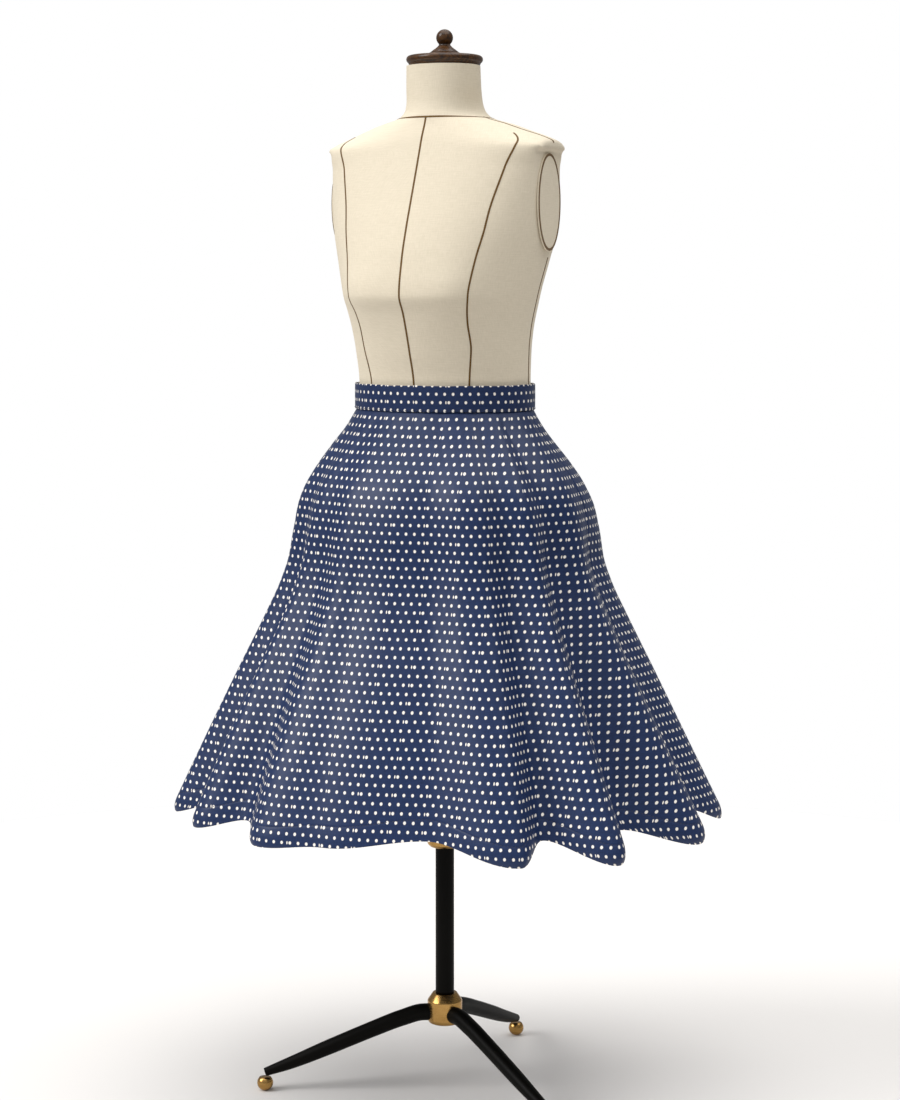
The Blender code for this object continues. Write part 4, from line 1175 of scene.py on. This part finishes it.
resin, tree, shader = new_finish(
    "navy polyester resin", {"Roughness": 0.28, "Coat Weight": 0.3, "Coat Roughness": 0.1}
)
place = add(tree, "ShaderNodeTexCoord").outputs["Object"]
cloud = add(tree, "ShaderNodeTexNoise", {"Vector": place, "Scale": 260.0, "Detail": 2.0})
tone = add(tree, "ShaderNodeMix", {0: cloud, 6: linear("#161F42"), 7: linear("#27345F")}, data_type="RGBA")
tree.links.new(tone.outputs[2], shader.inputs["Base Color"])

button_turn = math.radians(BUTTON_BEARING)
button_out = np.array([math.sin(button_turn), -math.cos(button_turn), 0.0])
button_across = np.array([math.cos(button_turn), math.sin(button_turn), 0.0])
button_reach = float(ring_radius(BAND, BUTTON_BEARING)) + BAND_WALL + 4 * GAP
button_middle = button_out * button_reach + np.array([0, 0, BUTTON_HEIGHT])


def on_button(x, y, out):
    """Points on the button: x round the band, y up, out along its axis."""
    x, y, out = (np.asarray(value, float)[..., None] for value in np.broadcast_arrays(x, y, out))
    return button_middle + button_across * x + np.array([0.0, 0.0, 1.0]) * y + button_out * out


face_shape = [
    (0.0, 0.75),
    (0.60, 0.75),
    (0.70, 0.86),
    (0.78, 0.98),
    (0.86, 1.0),
    (0.94, 0.95),
    (0.99, 0.80),
    (1.0, 0.66),
]
back_shape = [(1.0, 0.34), (0.98, 0.18), (0.90, 0.03), (0.80, 0.0)]
shares, walls = np.array([row[0] for row in face_shape]), np.array([row[1] for row in face_shape])
rings = [button_middle[None, :] + button_out * BUTTON_WALL * 0.75]
angles = np.linspace(0, 2 * math.pi, 96, endpoint=False)
for share in np.concatenate([np.linspace(0.03, 0.56, 19), shares[1:]]):
    x, y = BUTTON_RADIUS * share * np.cos(angles), BUTTON_RADIUS * share * np.sin(angles)
    out = np.full(96, np.interp(share, shares, walls) * BUTTON_WALL)
    for hole_x, hole_y in ((1, 1), (-1, 1), (-1, -1), (1, -1)):
        away = np.hypot(x - hole_x * HOLE_ASIDE, y - hole_y * HOLE_ASIDE) / HOLE_RADIUS
        out -= 0.0014 / (1 + np.exp((away - 1) / 0.10))
    rings.append(on_button(x, y, out))
for share, high in back_shape:
    rings.append(
        on_button(
            BUTTON_RADIUS * share * np.cos(angles), BUTTON_RADIUS * share * np.sin(angles), high * BUTTON_WALL
        )
    )
button = skin("button_resin", rings, resin)
fit(button, "form", "button")

button_threads = []
for number, y in enumerate((-HOLE_ASIDE, HOLE_ASIDE)):
    for strand in (-1, 0, 1):
        x = np.linspace(-HOLE_ASIDE, HOLE_ASIDE, 9)
        out = BUTTON_WALL * 0.75 + 0.00028 - 0.0007 * (x / HOLE_ASIDE) ** 6
        path = on_button(x, y + strand * 0.00022, out)
        button_threads.append(
            tube(f"button_thread_{number}_{strand + 1}", path, 0.00016, thread_navy, sides=8)
        )
hole_angles = np.linspace(0, 2 * math.pi, 120, endpoint=False)
hole_degrees = BUTTON_BEARING + 2.6 + 4.1 * np.cos(hole_angles)
lap = band_point(hole_degrees + 360, -0.00012, BUTTON_HEIGHT + 0.0009 * np.sin(hole_angles))
buttonhole = grow(
    "buttonhole_stitches",
    lap,
    stitches,
    thread_navy,
    closed=True,
    stitch_length=0.0009,
    pitch=0.0005,
    thread=0.0004,
)
for piece in (*button_threads, buttonhole):
    fit(piece, "form")
print("button", triangles(button), "triangles, buttonhole", triangles(buttonhole))

# %% [markdown]
# ## The dress form
# The form is a padded body covered in natural linen canvas. Its sections are rings again,
# with two soft rises at the bust, and its sides are flat where the arm plates close them.
# The cover's pattern coordinates are real lengths: u runs round from the centre front and v
# runs down the surface, so the weave keeps one size all over.

# %% Form tables
TORSO_SECTIONS = [
    Section(1.4083, 0.0495, 0.0495, 0.0495, 2.0, -0.006),
    Section(1.3800, 0.0503, 0.0503, 0.0503, 2.0, -0.004),
    Section(1.3620, 0.0510, 0.0515, 0.0515, 2.0, 0.000),
    Section(1.3500, 0.0535, 0.0540, 0.0545, 2.0, 0.003),
    Section(1.3400, 0.0620, 0.0580, 0.0600, 2.0, 0.006),
    Section(1.3290, 0.0985, 0.0620, 0.0680, 2.1, 0.006),
    Section(1.3210, 0.1200, 0.0660, 0.0730, 2.2, 0.008),
    Section(1.3130, 0.1420, 0.0700, 0.0775, 2.3, 0.012),
    Section(1.3050, 0.1600, 0.0735, 0.0810, 2.4, 0.009),
    Section(1.2970, 0.1720, 0.0765, 0.0840, 2.4, 0.004),
    Section(1.2700, 0.1620, 0.0870, 0.0920, 2.4, 0.003),
    Section(1.2300, 0.1590, 0.1030, 0.1020, 2.3, 0.004),
    Section(1.1900, 0.1550, 0.1190, 0.1070, 2.2, 0.005),
    Section(1.1500, 0.1455, 0.1320, 0.1070, 2.1, 0.000),
    Section(1.1030, 0.1350, 0.1400, 0.1030, 2.0, -0.006),
    Section(1.0800, 0.1300, 0.1285, 0.1000, 2.0, -0.006),
    Section(1.0600, 0.1260, 0.1205, 0.0970, 2.0, -0.005),
    Section(1.0300, 0.1225, 0.1100, 0.0940, 2.0, -0.003),
    Section(0.9850, 0.1205, 0.0965, 0.0935, 2.0, 0.000),
    Section(0.9450, 0.1205, 0.0950, 0.0945, 2.0, 0.000),
    Section(0.9200, 0.1285, 0.1010, 0.1030, 2.0, 0.000),
    Section(0.8900, 0.1410, 0.1090, 0.1130, 2.0, 0.000),
    Section(0.8400, 0.1560, 0.1160, 0.1230, 2.0, 0.000),
    Section(0.7800, 0.1650, 0.1180, 0.1240, 2.0, 0.000),
    Section(0.7200, 0.1620, 0.1130, 0.1180, 2.0, 0.000),
    Section(0.6550, 0.1480, 0.1010, 0.1040, 2.0, 0.000),
]
ARM_PLANE = 0.1503
ARM_PLANE_TOP = 1.292
SHOULDER_PLANE = 0.1580
PLANE_SOFTNESS = 0.0016  # the cover rounds over the edge of the flat side
ARM_PLATE_WALL = 0.0024
ARM_PLATE_CENTRE = (0.001, 1.2255)  # y, z
ARM_PLATE_RADII = (0.0375, 0.0640)  # along y, along z
BUST_BEARING = 30.0
BUST_HEIGHT = 1.106
BUST_RISE = 0.007
BUST_SPREAD = (17.0, 0.04)


def form_point(bearing, height):
    """Points of the form's cover at each bearing and height."""
    bearing, height = np.broadcast_arrays(np.asarray(bearing, float), np.asarray(height, float))
    section = section_at(TORSO_SECTIONS, height)
    radius = ring_radius(section, bearing)
    for side in (-BUST_BEARING, BUST_BEARING):
        apart = ((bearing - side + 180) % 360 - 180) / BUST_SPREAD[0]
        radius = radius + BUST_RISE * np.exp(-(apart**2) - ((height - BUST_HEIGHT) / BUST_SPREAD[1]) ** 2)
    points = at_bearing(radius, bearing, height)
    points[..., 1] += section.set_back
    above = np.clip((height - ARM_PLANE_TOP + 0.001) / 0.006, 0, 1)
    plane = ARM_PLANE + (SHOULDER_PLANE - ARM_PLANE) * above * above * (3 - 2 * above)
    wide = np.abs(points[..., 0])
    kept = plane - PLANE_SOFTNESS * np.logaddexp(0, (plane - wide) / PLANE_SOFTNESS)
    points[..., 0] = np.sign(points[..., 0]) * np.where(wide > plane - 0.012, kept, wide)
    return points


def form_out(bearing, height):
    """Outward directions of the cover at each bearing and height."""
    step = 0.0005
    down = form_point(bearing, height - step) - form_point(bearing, height + step)
    round_it = form_point(np.asarray(bearing) + 0.2, height) - form_point(np.asarray(bearing) - 0.2, height)
    return unit(np.cross(down, round_it))


print(
    "form:", len(TORSO_SECTIONS), "sections, widest", round(float(np.abs(form_point(90, 1.2)[0])) * 2, 3), "m"
)

# %% [markdown]
# Linen canvas has uneven threads, thicker and thinner along their length, and they catch
# the light as faint crossing streaks. Two noises, each drawn out along one thread direction,
# give both the streaks of colour and the low relief.

# %% Linen cover
CANVAS_THREAD = 0.0013  # real canvas has two threads in this width; drawn coarser

linen, tree, shader = new_finish(
    "natural linen canvas", {"Roughness": 0.9, "Specular IOR Level": 0.2, "Sheen Weight": 0.08}
)
cut = add(tree, "ShaderNodeUVMap", uv_map="cut")
streaks = []
for stretch in ((1 / CANVAS_THREAD, 0.12 / CANVAS_THREAD, 1), (0.08 / CANVAS_THREAD, 1 / CANVAS_THREAD, 1)):
    grain = add(tree, "ShaderNodeMapping", {"Vector": cut, "Scale": stretch})
    streaks.append(
        add(tree, "ShaderNodeTexNoise", {"Vector": grain, "Scale": 1.0, "Detail": 3.0, "Roughness": 0.6})
    )
canvas = add(tree, "ShaderNodeMath", {0: streaks[0], 1: streaks[1]}, operation="ADD")
tone = add(
    tree,
    "ShaderNodeMapRange",
    {"Value": canvas, "From Min": 0.7, "From Max": 1.3, "To Min": 0.0, "To Max": 1.0},
)
colour = add(tree, "ShaderNodeMix", {0: tone, 6: linear("#E0D4BC"), 7: linear("#ECE0CA")}, data_type="RGBA")
bump = add(tree, "ShaderNodeBump", {"Height": canvas, "Strength": 0.18, "Distance": 0.0003})
tree.links.new(colour.outputs[2], shader.inputs["Base Color"])
tree.links.new(bump.outputs[0], shader.inputs["Normal"])

FORM_ROWS = 230
FORM_COLUMNS = 256
form_heights = np.linspace(TORSO_SECTIONS[0].height, TORSO_SECTIONS[-1].height, FORM_ROWS)[:, None]
form_bearings = np.linspace(0, 360, FORM_COLUMNS, endpoint=False)[None, :]
form_sheet = form_point(form_bearings, form_heights)
closed_sheet = np.concatenate([form_sheet, form_sheet[:, :1]], axis=1)
round_steps = np.linalg.norm(np.diff(closed_sheet, axis=1), axis=-1)
form_u = np.concatenate([np.zeros((FORM_ROWS, 1)), np.cumsum(round_steps, axis=1)], axis=1)
form_turn = form_u[:, -1:].repeat(FORM_COLUMNS, axis=1)
slant = np.linalg.norm(np.diff(form_sheet[:, 0], axis=0), axis=-1)
form_v = -np.concatenate([[0], np.cumsum(slant)])[:, None].repeat(FORM_COLUMNS, axis=1)
form_uv = np.stack([form_u[:, :-1], form_v], axis=-1)
cover = skin("form_cover", list(form_sheet), linen, uv=form_uv, around=form_turn, sharp=60)
fit(cover, "form", "form_torso")

for name, side in (("arm_plate_left", 1), ("arm_plate_right", -1)):
    turns = np.linspace(0, 2 * math.pi, 96, endpoint=False)
    rings, plate_uv = [], []
    layers = [
        (0.9, 0.0),
        (1.0, 0.0),
        (1.0, 0.0012),
        (0.996, 0.0018),
        (0.985, 0.0022),
        (0.96, 0.0024),
        (0.6, 0.0024),
        (0.2, 0.0024),
    ]
    for share, out in layers:
        y = ARM_PLATE_RADII[0] * share * np.cos(turns)
        z = ARM_PLATE_RADII[1] * share * np.sin(turns)
        x = np.full(96, side * (ARM_PLANE + GAP + out))
        rings.append(np.stack([x, ARM_PLATE_CENTRE[0] + y, ARM_PLATE_CENTRE[1] + z], axis=-1))
        plate_uv.append(np.stack([y, z], axis=-1))
    plate = skin(name + "_cover", rings, linen, uv=np.array(plate_uv))
    fit(plate, "form", name)
print("cover", triangles(cover), "triangles, round the bust", round(float(form_u[:, -1].max()), 3), "m")

# %% [markdown]
# ## Style tapes
# Narrow brown twill tapes mark the lines a dressmaker measures from: the centre front and
# back, the princess lines over the bust and shoulder blades, the side seams, the neckline,
# the shoulders and the rim of each arm plate. A tape has a width and a face, so its tree
# turns the path's own outward directions into the face of the tape.


# %% Style tapes
def tape_tree():
    """A flat tape along the path, which faces the way of the path's out attribute."""
    tree, sizes = new_tree("style tape", {"Width": 0.0022, "Thickness": 0.0006, "Seed": 0})
    curve = add(tree, "GeometryNodeMeshToCurve", {0: sizes["Geometry"]})
    out = add(tree, "GeometryNodeInputNamedAttribute", {"Name": "out"}, data_type="FLOAT_VECTOR")
    facing = add(tree, "GeometryNodeSetCurveNormal", {"Curve": curve, "Normal": out}, mode="FREE")
    profile = add(
        tree,
        "GeometryNodeCurvePrimitiveQuadrilateral",
        {"Width": sizes["Thickness"], "Height": sizes["Width"]},
    )
    soft = add(tree, "GeometryNodeFilletCurve", {"Curve": profile, "Radius": 0.0002, "Count": 2}, mode="POLY")
    tape = add(tree, "GeometryNodeCurveToMesh", {"Curve": facing, "Profile Curve": soft, "Fill Caps": True})
    end_tree(tree, tape, sizes["Finish"])
    return tree


tape_brown, tree, shader = new_finish("brown twill tape", {"Roughness": 0.8, "Sheen Weight": 0.15})
place = add(tree, "ShaderNodeTexCoord").outputs["Object"]
mottle = add(tree, "ShaderNodeTexNoise", {"Vector": place, "Scale": 700.0, "Detail": 2.0})
tone = add(tree, "ShaderNodeMix", {0: mottle, 6: linear("#4C3308"), 7: linear("#785512")}, data_type="RGBA")
tree.links.new(tone.outputs[2], shader.inputs["Base Color"])

CENTRE_TOP = 1.3365
TAPE_FOOT = 0.962  # the tapes go down behind the band
PRINCESS = {1.315: 68, 1.27: 59.5, 1.20: 47, 1.13: 40, 1.10: 38.5, 1.07: 40, 1.03: 43.5, 0.985: 43, 0.95: 43}
BACK_PRINCESS = {1.315: 112, 1.27: 124, 1.20: 137, 1.13: 143, 1.07: 143, 1.03: 140, 0.985: 138, 0.95: 138}
SIDE = {1.155: 95, 1.12: 95, 1.03: 94, 0.95: 94}
SHOULDER = {1.339: 76, 1.324: 81, 1.313: 85, 1.303: 88}
NECKLINE = 1.338
TAPE_WIDTH = 0.0025
RIM_TAPE_WIDTH = 0.0034
TAPE_WALL = 0.0007
RIM_INSET = 0.0018

tape = tape_tree()
princess_heights = np.linspace(1.315, TAPE_FOOT, 160)
front_line = column_at(list(PRINCESS), list(PRINCESS.values()), princess_heights)
back_line = column_at(list(BACK_PRINCESS), list(BACK_PRINCESS.values()), princess_heights)
shoulder_heights = np.linspace(1.339, 1.303, 60)
shoulder_line = column_at(list(SHOULDER), list(SHOULDER.values()), shoulder_heights)
centre_heights = np.linspace(CENTRE_TOP, TAPE_FOOT, 160)
side_heights = np.linspace(1.153, TAPE_FOOT, 100)
side_line = column_at(list(SIDE), list(SIDE.values()), side_heights)
around = np.linspace(0, 360, 120, endpoint=False)
lines = {
    "centre_front": (0, centre_heights, False),
    "centre_back": (180, centre_heights, False),
    "princess_left": (front_line, princess_heights, False),
    "princess_right": (-front_line, princess_heights, False),
    "back_princess_left": (back_line, princess_heights, False),
    "back_princess_right": (-back_line, princess_heights, False),
    "side_left": (side_line, side_heights, False),
    "side_right": (-side_line, side_heights, False),
    "shoulder_left": (shoulder_line, shoulder_heights, False),
    "shoulder_right": (-shoulder_line, shoulder_heights, False),
    "neckline": (around, np.full(120, NECKLINE), True),
}
tapes = []
for name, (bearing, heights, ring) in lines.items():
    path, outs = form_point(bearing, heights), form_out(bearing, heights)
    tapes.append(
        grow(
            "tape_" + name,
            path + outs * 0.0001,
            tape,
            tape_brown,
            outs,
            closed=ring,
            width=TAPE_WIDTH,
            thickness=TAPE_WALL,
        )
    )
for name, side in (("left", 1), ("right", -1)):
    y = ARM_PLATE_CENTRE[0] + (ARM_PLATE_RADII[0] - RIM_INSET) * np.cos(turns)
    z = ARM_PLATE_CENTRE[1] + (ARM_PLATE_RADII[1] - RIM_INSET) * np.sin(turns)
    path = np.stack([np.full(96, side * (ARM_PLANE + GAP + ARM_PLATE_WALL)), y, z], axis=-1)
    outs = np.tile([side, 0.0, 0.0], (96, 1))
    tapes.append(
        grow(
            f"tape_arm_{name}",
            path,
            tape,
            tape_brown,
            outs,
            closed=True,
            width=RIM_TAPE_WIDTH,
            thickness=TAPE_WALL,
        )
    )
for piece in tapes:
    fit(piece, "form")
print(len(tapes), "tapes,", sum(triangles(piece) for piece in tapes), "triangles")

# %% [markdown]
# ## Turned wood
# The neck cap and its finial are turned on a lathe and varnished, and the board under the
# form is sawn to its outline. A turned piece is a profile of radii and heights. Small arcs
# replace the profile's corners, because sanded and varnished wood has no sharp edge.

# %% Wood
NECK_CAP_BOTTOM = 1.4086
BASE_PLATE_TOP = 0.6547
BASE_PLATE_WALL = 0.0140
BASE_PLATE_INSET = 0.004
SOCKET_RADIUS = 0.0205
SOCKET_FLANGE = (0.0435, 0.0050)
SOCKET_BOTTOM = 0.6050

wood, tree, shader = new_finish(
    "varnished dark wood",
    {
        "Roughness": 0.42,
        "Specular IOR Level": 0.25,
        "Coat Weight": 0.3,
        "Coat Roughness": 0.14,
        "Coat IOR": 1.5,
    },
)
place = add(tree, "ShaderNodeTexCoord").outputs["Object"]
bent = add(tree, "ShaderNodeTexNoise", {"Vector": place, "Scale": 28.0, "Detail": 2.0})
grain_line = add(tree, "ShaderNodeMapping", {"Vector": place, "Scale": (30.0, 420.0, 240.0)})
grain = add(tree, "ShaderNodeVectorMath", {0: grain_line, 1: bent.outputs["Color"]}, operation="ADD")
grain = add(tree, "ShaderNodeTexNoise", {"Vector": grain, "Scale": 1.0, "Detail": 4.0, "Roughness": 0.6})
tone = add(
    tree,
    "ShaderNodeMapRange",
    {"Value": grain, "From Min": 0.35, "From Max": 0.68, "To Min": 0.0, "To Max": 1.0},
)
colour = add(tree, "ShaderNodeMix", {0: tone, 6: linear("#251304"), 7: linear("#5A370E")}, data_type="RGBA")
bump = add(tree, "ShaderNodeBump", {"Height": grain, "Strength": 0.10, "Distance": 0.0002})
tree.links.new(colour.outputs[2], shader.inputs["Base Color"])
tree.links.new(bump.outputs[0], shader.inputs["Normal"])


def rounded(profile, radius, steps=5, closed=False):
    """The profile with each corner replaced by a small curve."""
    profile = [np.array(point, float) for point in profile]
    count = len(profile)
    points = []
    for number, corner in enumerate(profile):
        if not closed and number in (0, count - 1):
            points.append(corner)
            continue
        before, after = profile[number - 1] - corner, profile[(number + 1) % count] - corner
        cuts = [min(radius / np.linalg.norm(side), 0.45) for side in (before, after)]
        start, end = corner + before * cuts[0], corner + after * cuts[1]
        for t in np.linspace(0, 1, steps):
            points.append((1 - t) ** 2 * start + 2 * t * (1 - t) * corner + t * t * end)
    return points


def turned(name, profile, finish, centre=(0.0, 0.0), steps=96, closed=False, stretch=(1.0, 1.0), **details):
    """A piece turned round an upright axis from (radius, height) points."""
    turns = np.linspace(0, 2 * math.pi, steps, endpoint=False)
    rings = []
    for radius, height in profile:
        if radius < 1e-6:
            rings.append(np.array([[centre[0], centre[1], height]]))
            continue
        x = centre[0] + radius * stretch[0] * np.cos(turns)
        y = centre[1] + radius * stretch[1] * np.sin(turns)
        rings.append(np.stack([x, y, np.full(steps, height)], axis=-1))
    return skin(name, rings, finish, closed=closed, **details)


CAP_RISE = 0.0178
cap_foot = NECK_CAP_BOTTOM
cap_profile = [
    (0.0, cap_foot + CAP_RISE),
    (0.0196, cap_foot + CAP_RISE),
    (0.0235, cap_foot + 0.0160),
    (0.0310, cap_foot + 0.0141),
]
cap_profile += [(0.0440, cap_foot + 0.0134), *arc((0.0465, cap_foot + 0.0084), 0.0050, 90, -60, 25)]
cap_profile += [(0.0470, cap_foot), (0.0, cap_foot)]
neck_cap = turned("neck_cap_turned", rounded(cap_profile, 0.0012), wood)
ball_foot = NECK_CAP_BOTTOM + CAP_RISE + GAP
BALL = 0.0113
BALL_CENTRE = ball_foot + 0.0190
ball_profile = [(0.0, BALL_CENTRE + BALL), *arc((0, BALL_CENTRE), BALL, 88, -48, 40)]
ball_profile += [
    (0.0080, ball_foot + 0.0090),
    (0.0105, ball_foot + 0.0064),
    (0.0160, ball_foot + 0.0024),
    (0.0192, ball_foot),
    (0.0, ball_foot),
]
finial = turned("finial_turned", rounded(ball_profile, 0.0010), wood)
board_rim = [
    (1 - 0.012 * (1 - math.cos(a)), BASE_PLATE_TOP - 0.002 + 0.002 * math.sin(a))
    for a in np.radians([90, 60, 30, 0])
]
under_rim = [(share, 2 * BASE_PLATE_TOP - BASE_PLATE_WALL - height) for share, height in reversed(board_rim)]
last = TORSO_SECTIONS[-1]
oval = (last.half_width - BASE_PLATE_INSET, last.front - BASE_PLATE_INSET)
board_profile = [(0.0, BASE_PLATE_TOP), *board_rim, *under_rim, (0.0, BASE_PLATE_TOP - BASE_PLATE_WALL)]
base_board = turned("form_base_board", board_profile, wood, stretch=oval)
for piece, node in ((neck_cap, "neck_cap"), (finial, "finial"), (base_board, "form_base")):
    fit(piece, "form", node)
print("wood:", triangles(neck_cap), triangles(finial), triangles(base_board), "triangles")

# %% [markdown]
# ## The stand
# A rod fixed in the form slides in the pole, and the brass collar locks it. The three legs
# leave the brass hub level, arch down and taper to ball feet. Brass is a metal, so its base
# colour is the colour of its reflection, and faint turning marks vary its roughness. The
# steel is lacquered black, dark with a narrow soft highlight.

# %% Brass and lacquered steel
brass, tree, shader = new_finish("polished brass", {"Metallic": 1.0})
place = add(tree, "ShaderNodeTexCoord").outputs["Object"]
lathe = add(tree, "ShaderNodeMapping", {"Vector": place, "Scale": (20.0, 20.0, 1600.0)})
marks = add(tree, "ShaderNodeTexNoise", {"Vector": lathe, "Scale": 1.0, "Detail": 2.0})
rough = add(tree, "ShaderNodeMapRange", {"Value": marks, "To Min": 0.20, "To Max": 0.32})
tarnish = add(tree, "ShaderNodeTexNoise", {"Vector": place, "Scale": 60.0, "Detail": 3.0})
colour = add(
    tree, "ShaderNodeMix", {0: tarnish, 6: linear("#94703A"), 7: linear("#C69E60")}, data_type="RGBA"
)
tree.links.new(rough.outputs[0], shader.inputs["Roughness"])
tree.links.new(colour.outputs[2], shader.inputs["Base Color"])

lacquer, tree, shader = new_finish(
    "black lacquered steel", {"Base Color": linear("#060503"), "Specular IOR Level": 0.08}
)
place = add(tree, "ShaderNodeTexCoord").outputs["Object"]
orange_peel = add(tree, "ShaderNodeTexNoise", {"Vector": place, "Scale": 400.0, "Detail": 1.0})
rough = add(tree, "ShaderNodeMapRange", {"Value": orange_peel, "To Min": 0.42, "To Max": 0.52})
tree.links.new(rough.outputs[0], shader.inputs["Roughness"])
print("metals:", brass.name, "and", lacquer.name)

# %% Pole, collar and hub
ROD_RADIUS = 0.0098
ROD_BOTTOM = 0.2400
TUBE_RADIUS = 0.0129
TUBE_BORE = 0.0101
TUBE_TOP = 0.3647
COLLAR_BOTTOM = 0.3420
COLLAR_TOP = 0.3830
HUB_RADIUS = 0.0242
HUB_BOTTOM = 0.0900
HUB_TOP = 0.1340
CHAMFER = (0.0075, 0.0110)

top = BASE_PLATE_TOP - BASE_PLATE_WALL - GAP
socket_profile = [(0.0, top), (SOCKET_FLANGE[0], top), (SOCKET_FLANGE[0], top - SOCKET_FLANGE[1])]
socket_profile += [
    (SOCKET_RADIUS + 0.0015, top - SOCKET_FLANGE[1] - 0.0020),
    (SOCKET_RADIUS, SOCKET_BOTTOM),
    (0.0, SOCKET_BOTTOM),
]
rod_profile = [
    (0.0, SOCKET_BOTTOM - GAP), (ROD_RADIUS, SOCKET_BOTTOM - GAP), (ROD_RADIUS, ROD_BOTTOM), (0.0, ROD_BOTTOM)
]
tube_profile = [
    (TUBE_BORE, TUBE_TOP), (TUBE_RADIUS, TUBE_TOP), (TUBE_RADIUS, HUB_TOP + GAP), (TUBE_BORE, HUB_TOP + GAP)
]
collar_profile = [
    (TUBE_BORE, COLLAR_TOP),
    (HUB_RADIUS - CHAMFER[0], COLLAR_TOP),
    (HUB_RADIUS, COLLAR_TOP - CHAMFER[1]),
    (HUB_RADIUS, COLLAR_BOTTOM + 0.004),
    (HUB_RADIUS - 0.004, COLLAR_BOTTOM),
    (TUBE_RADIUS + GAP, COLLAR_BOTTOM),
    (TUBE_RADIUS + GAP, TUBE_TOP + GAP),
    (TUBE_BORE, TUBE_TOP + GAP),
]
hub_profile = [
    (0.0, HUB_TOP),
    (HUB_RADIUS - CHAMFER[0], HUB_TOP),
    (HUB_RADIUS, HUB_TOP - CHAMFER[1]),
    (HUB_RADIUS, HUB_BOTTOM + 0.006),
    (HUB_RADIUS - 0.0015, HUB_BOTTOM + 0.002),
    (HUB_RADIUS - 0.006, HUB_BOTTOM),
    (0.0, HUB_BOTTOM),
]
stand_pieces = {
    "rod_socket": (socket_profile, lacquer, "form", "black_steel", False),
    "inner_rod": (rod_profile, lacquer, "form", "black_steel", False),
    "lower_tube": (tube_profile, lacquer, "stand", "black_steel", True),
    "collar": (collar_profile, brass, "stand", "brass", True),
    "hub": (hub_profile, brass, "stand", "brass", False),
}
for node, (profile, finish, body, slot, ring) in stand_pieces.items():
    piece = turned(node + "_turned", rounded(profile, 0.0011, closed=ring), finish, closed=ring)
    fit(piece, body, node)
    print(piece.name, triangles(piece), "triangles")

# %% [markdown]
# Each leg is one bar whose middle line and radius come from a short table. The ball foot has
# a flat under it, where it stands, and a flat on top, where the leg ends.

# %% Legs and feet
LegPoint = namedtuple("LegPoint", "reach height radius")
LEG_POINTS = [
    LegPoint(0.0140, 0.1060, 0.0117),
    LegPoint(0.0300, 0.1060, 0.0117),
    LegPoint(0.0600, 0.0985, 0.0114),
    LegPoint(0.1000, 0.0838, 0.0110),
    LegPoint(0.1600, 0.0600, 0.0105),
    LegPoint(0.2150, 0.0382, 0.0086),
    LegPoint(0.2516, 0.0256, 0.0058),
]
LEG_TURNS = {"front_left": -30.0, "front_right": 210.0, "back": 90.0}
FOOT_RADIUS = 0.0112
FOOT_CENTRE = 0.0108
FOOT_CUT = 0.0186
FOOT_REACH = 0.2516

reaches = [row.reach for row in LEG_POINTS]
leg_reach = np.linspace(reaches[0], reaches[-1], 60)
leg_height = column_at(reaches, [row.height for row in LEG_POINTS], leg_reach)
leg_radius = column_at(reaches, [row.radius for row in LEG_POINTS], leg_reach)
ball_top = math.degrees(math.asin((FOOT_CUT - FOOT_CENTRE) / FOOT_RADIUS))
ball_bottom = -math.degrees(math.asin(FOOT_CENTRE / FOOT_RADIUS))
foot_profile = [(0.0, FOOT_CUT), *arc((0, FOOT_CENTRE), FOOT_RADIUS, ball_top, ball_bottom, 30), (0.0, 0.0)]
for name, degrees in LEG_TURNS.items():
    angle = math.radians(degrees)
    way = np.array([math.cos(angle), math.sin(angle), 0.0])
    path = way * leg_reach[:, None] + np.array([0, 0, 1.0]) * leg_height[:, None]
    leg = tube("leg_" + name + "_bar", path, leg_radius, lacquer, sides=40, round_ends=False)
    centre = tuple(way[:2] * FOOT_REACH)
    foot = turned("foot_" + name + "_ball", foot_profile, brass, centre=centre, steps=64)
    for piece, node, slot in ((leg, "leg_" + name, "black_steel"), (foot, "foot_" + name, "brass")):
        fit(piece, "stand", node)
print("legs and feet:", triangles(leg), triangles(foot), "triangles each")

# %% [markdown]
# ## What the cloth was cut to
# A flat cut of a flared panel is a piece of a ring. Its waist edge, its hem and its length
# down the cloth give the ring: the difference of the two edges over the length is the angle.
# The three panels together come to about half of a full ring with a small middle.


# %% Cloth sizes
def ring_cut(outer):
    """Width, length and area of the flat piece of a ring that makes a panel."""
    waist, hem = (float(np.linalg.norm(np.diff(row, axis=0), axis=-1).sum()) for row in (outer[0], outer[-1]))
    length = float(np.linalg.norm(np.diff(outer, axis=0), axis=-1).sum(axis=0).mean())
    angle = (hem - waist) / length
    inner_radius = waist / angle
    outer_radius = inner_radius + length
    area = angle / 2 * (outer_radius**2 - inner_radius**2)
    low = inner_radius * math.cos(angle / 2)
    width = 2 * outer_radius * math.sin(min(angle, math.pi) / 2)
    degrees = math.degrees(angle)
    print(f"cut: radii {inner_radius:.3f} and {outer_radius:.3f} m, {degrees:.1f} degrees, {area:.3f} m2")
    return width, outer_radius - low, area


for name, (outer, _, _, _) in panel_sheets.items():
    width, length, area = ring_cut(outer)
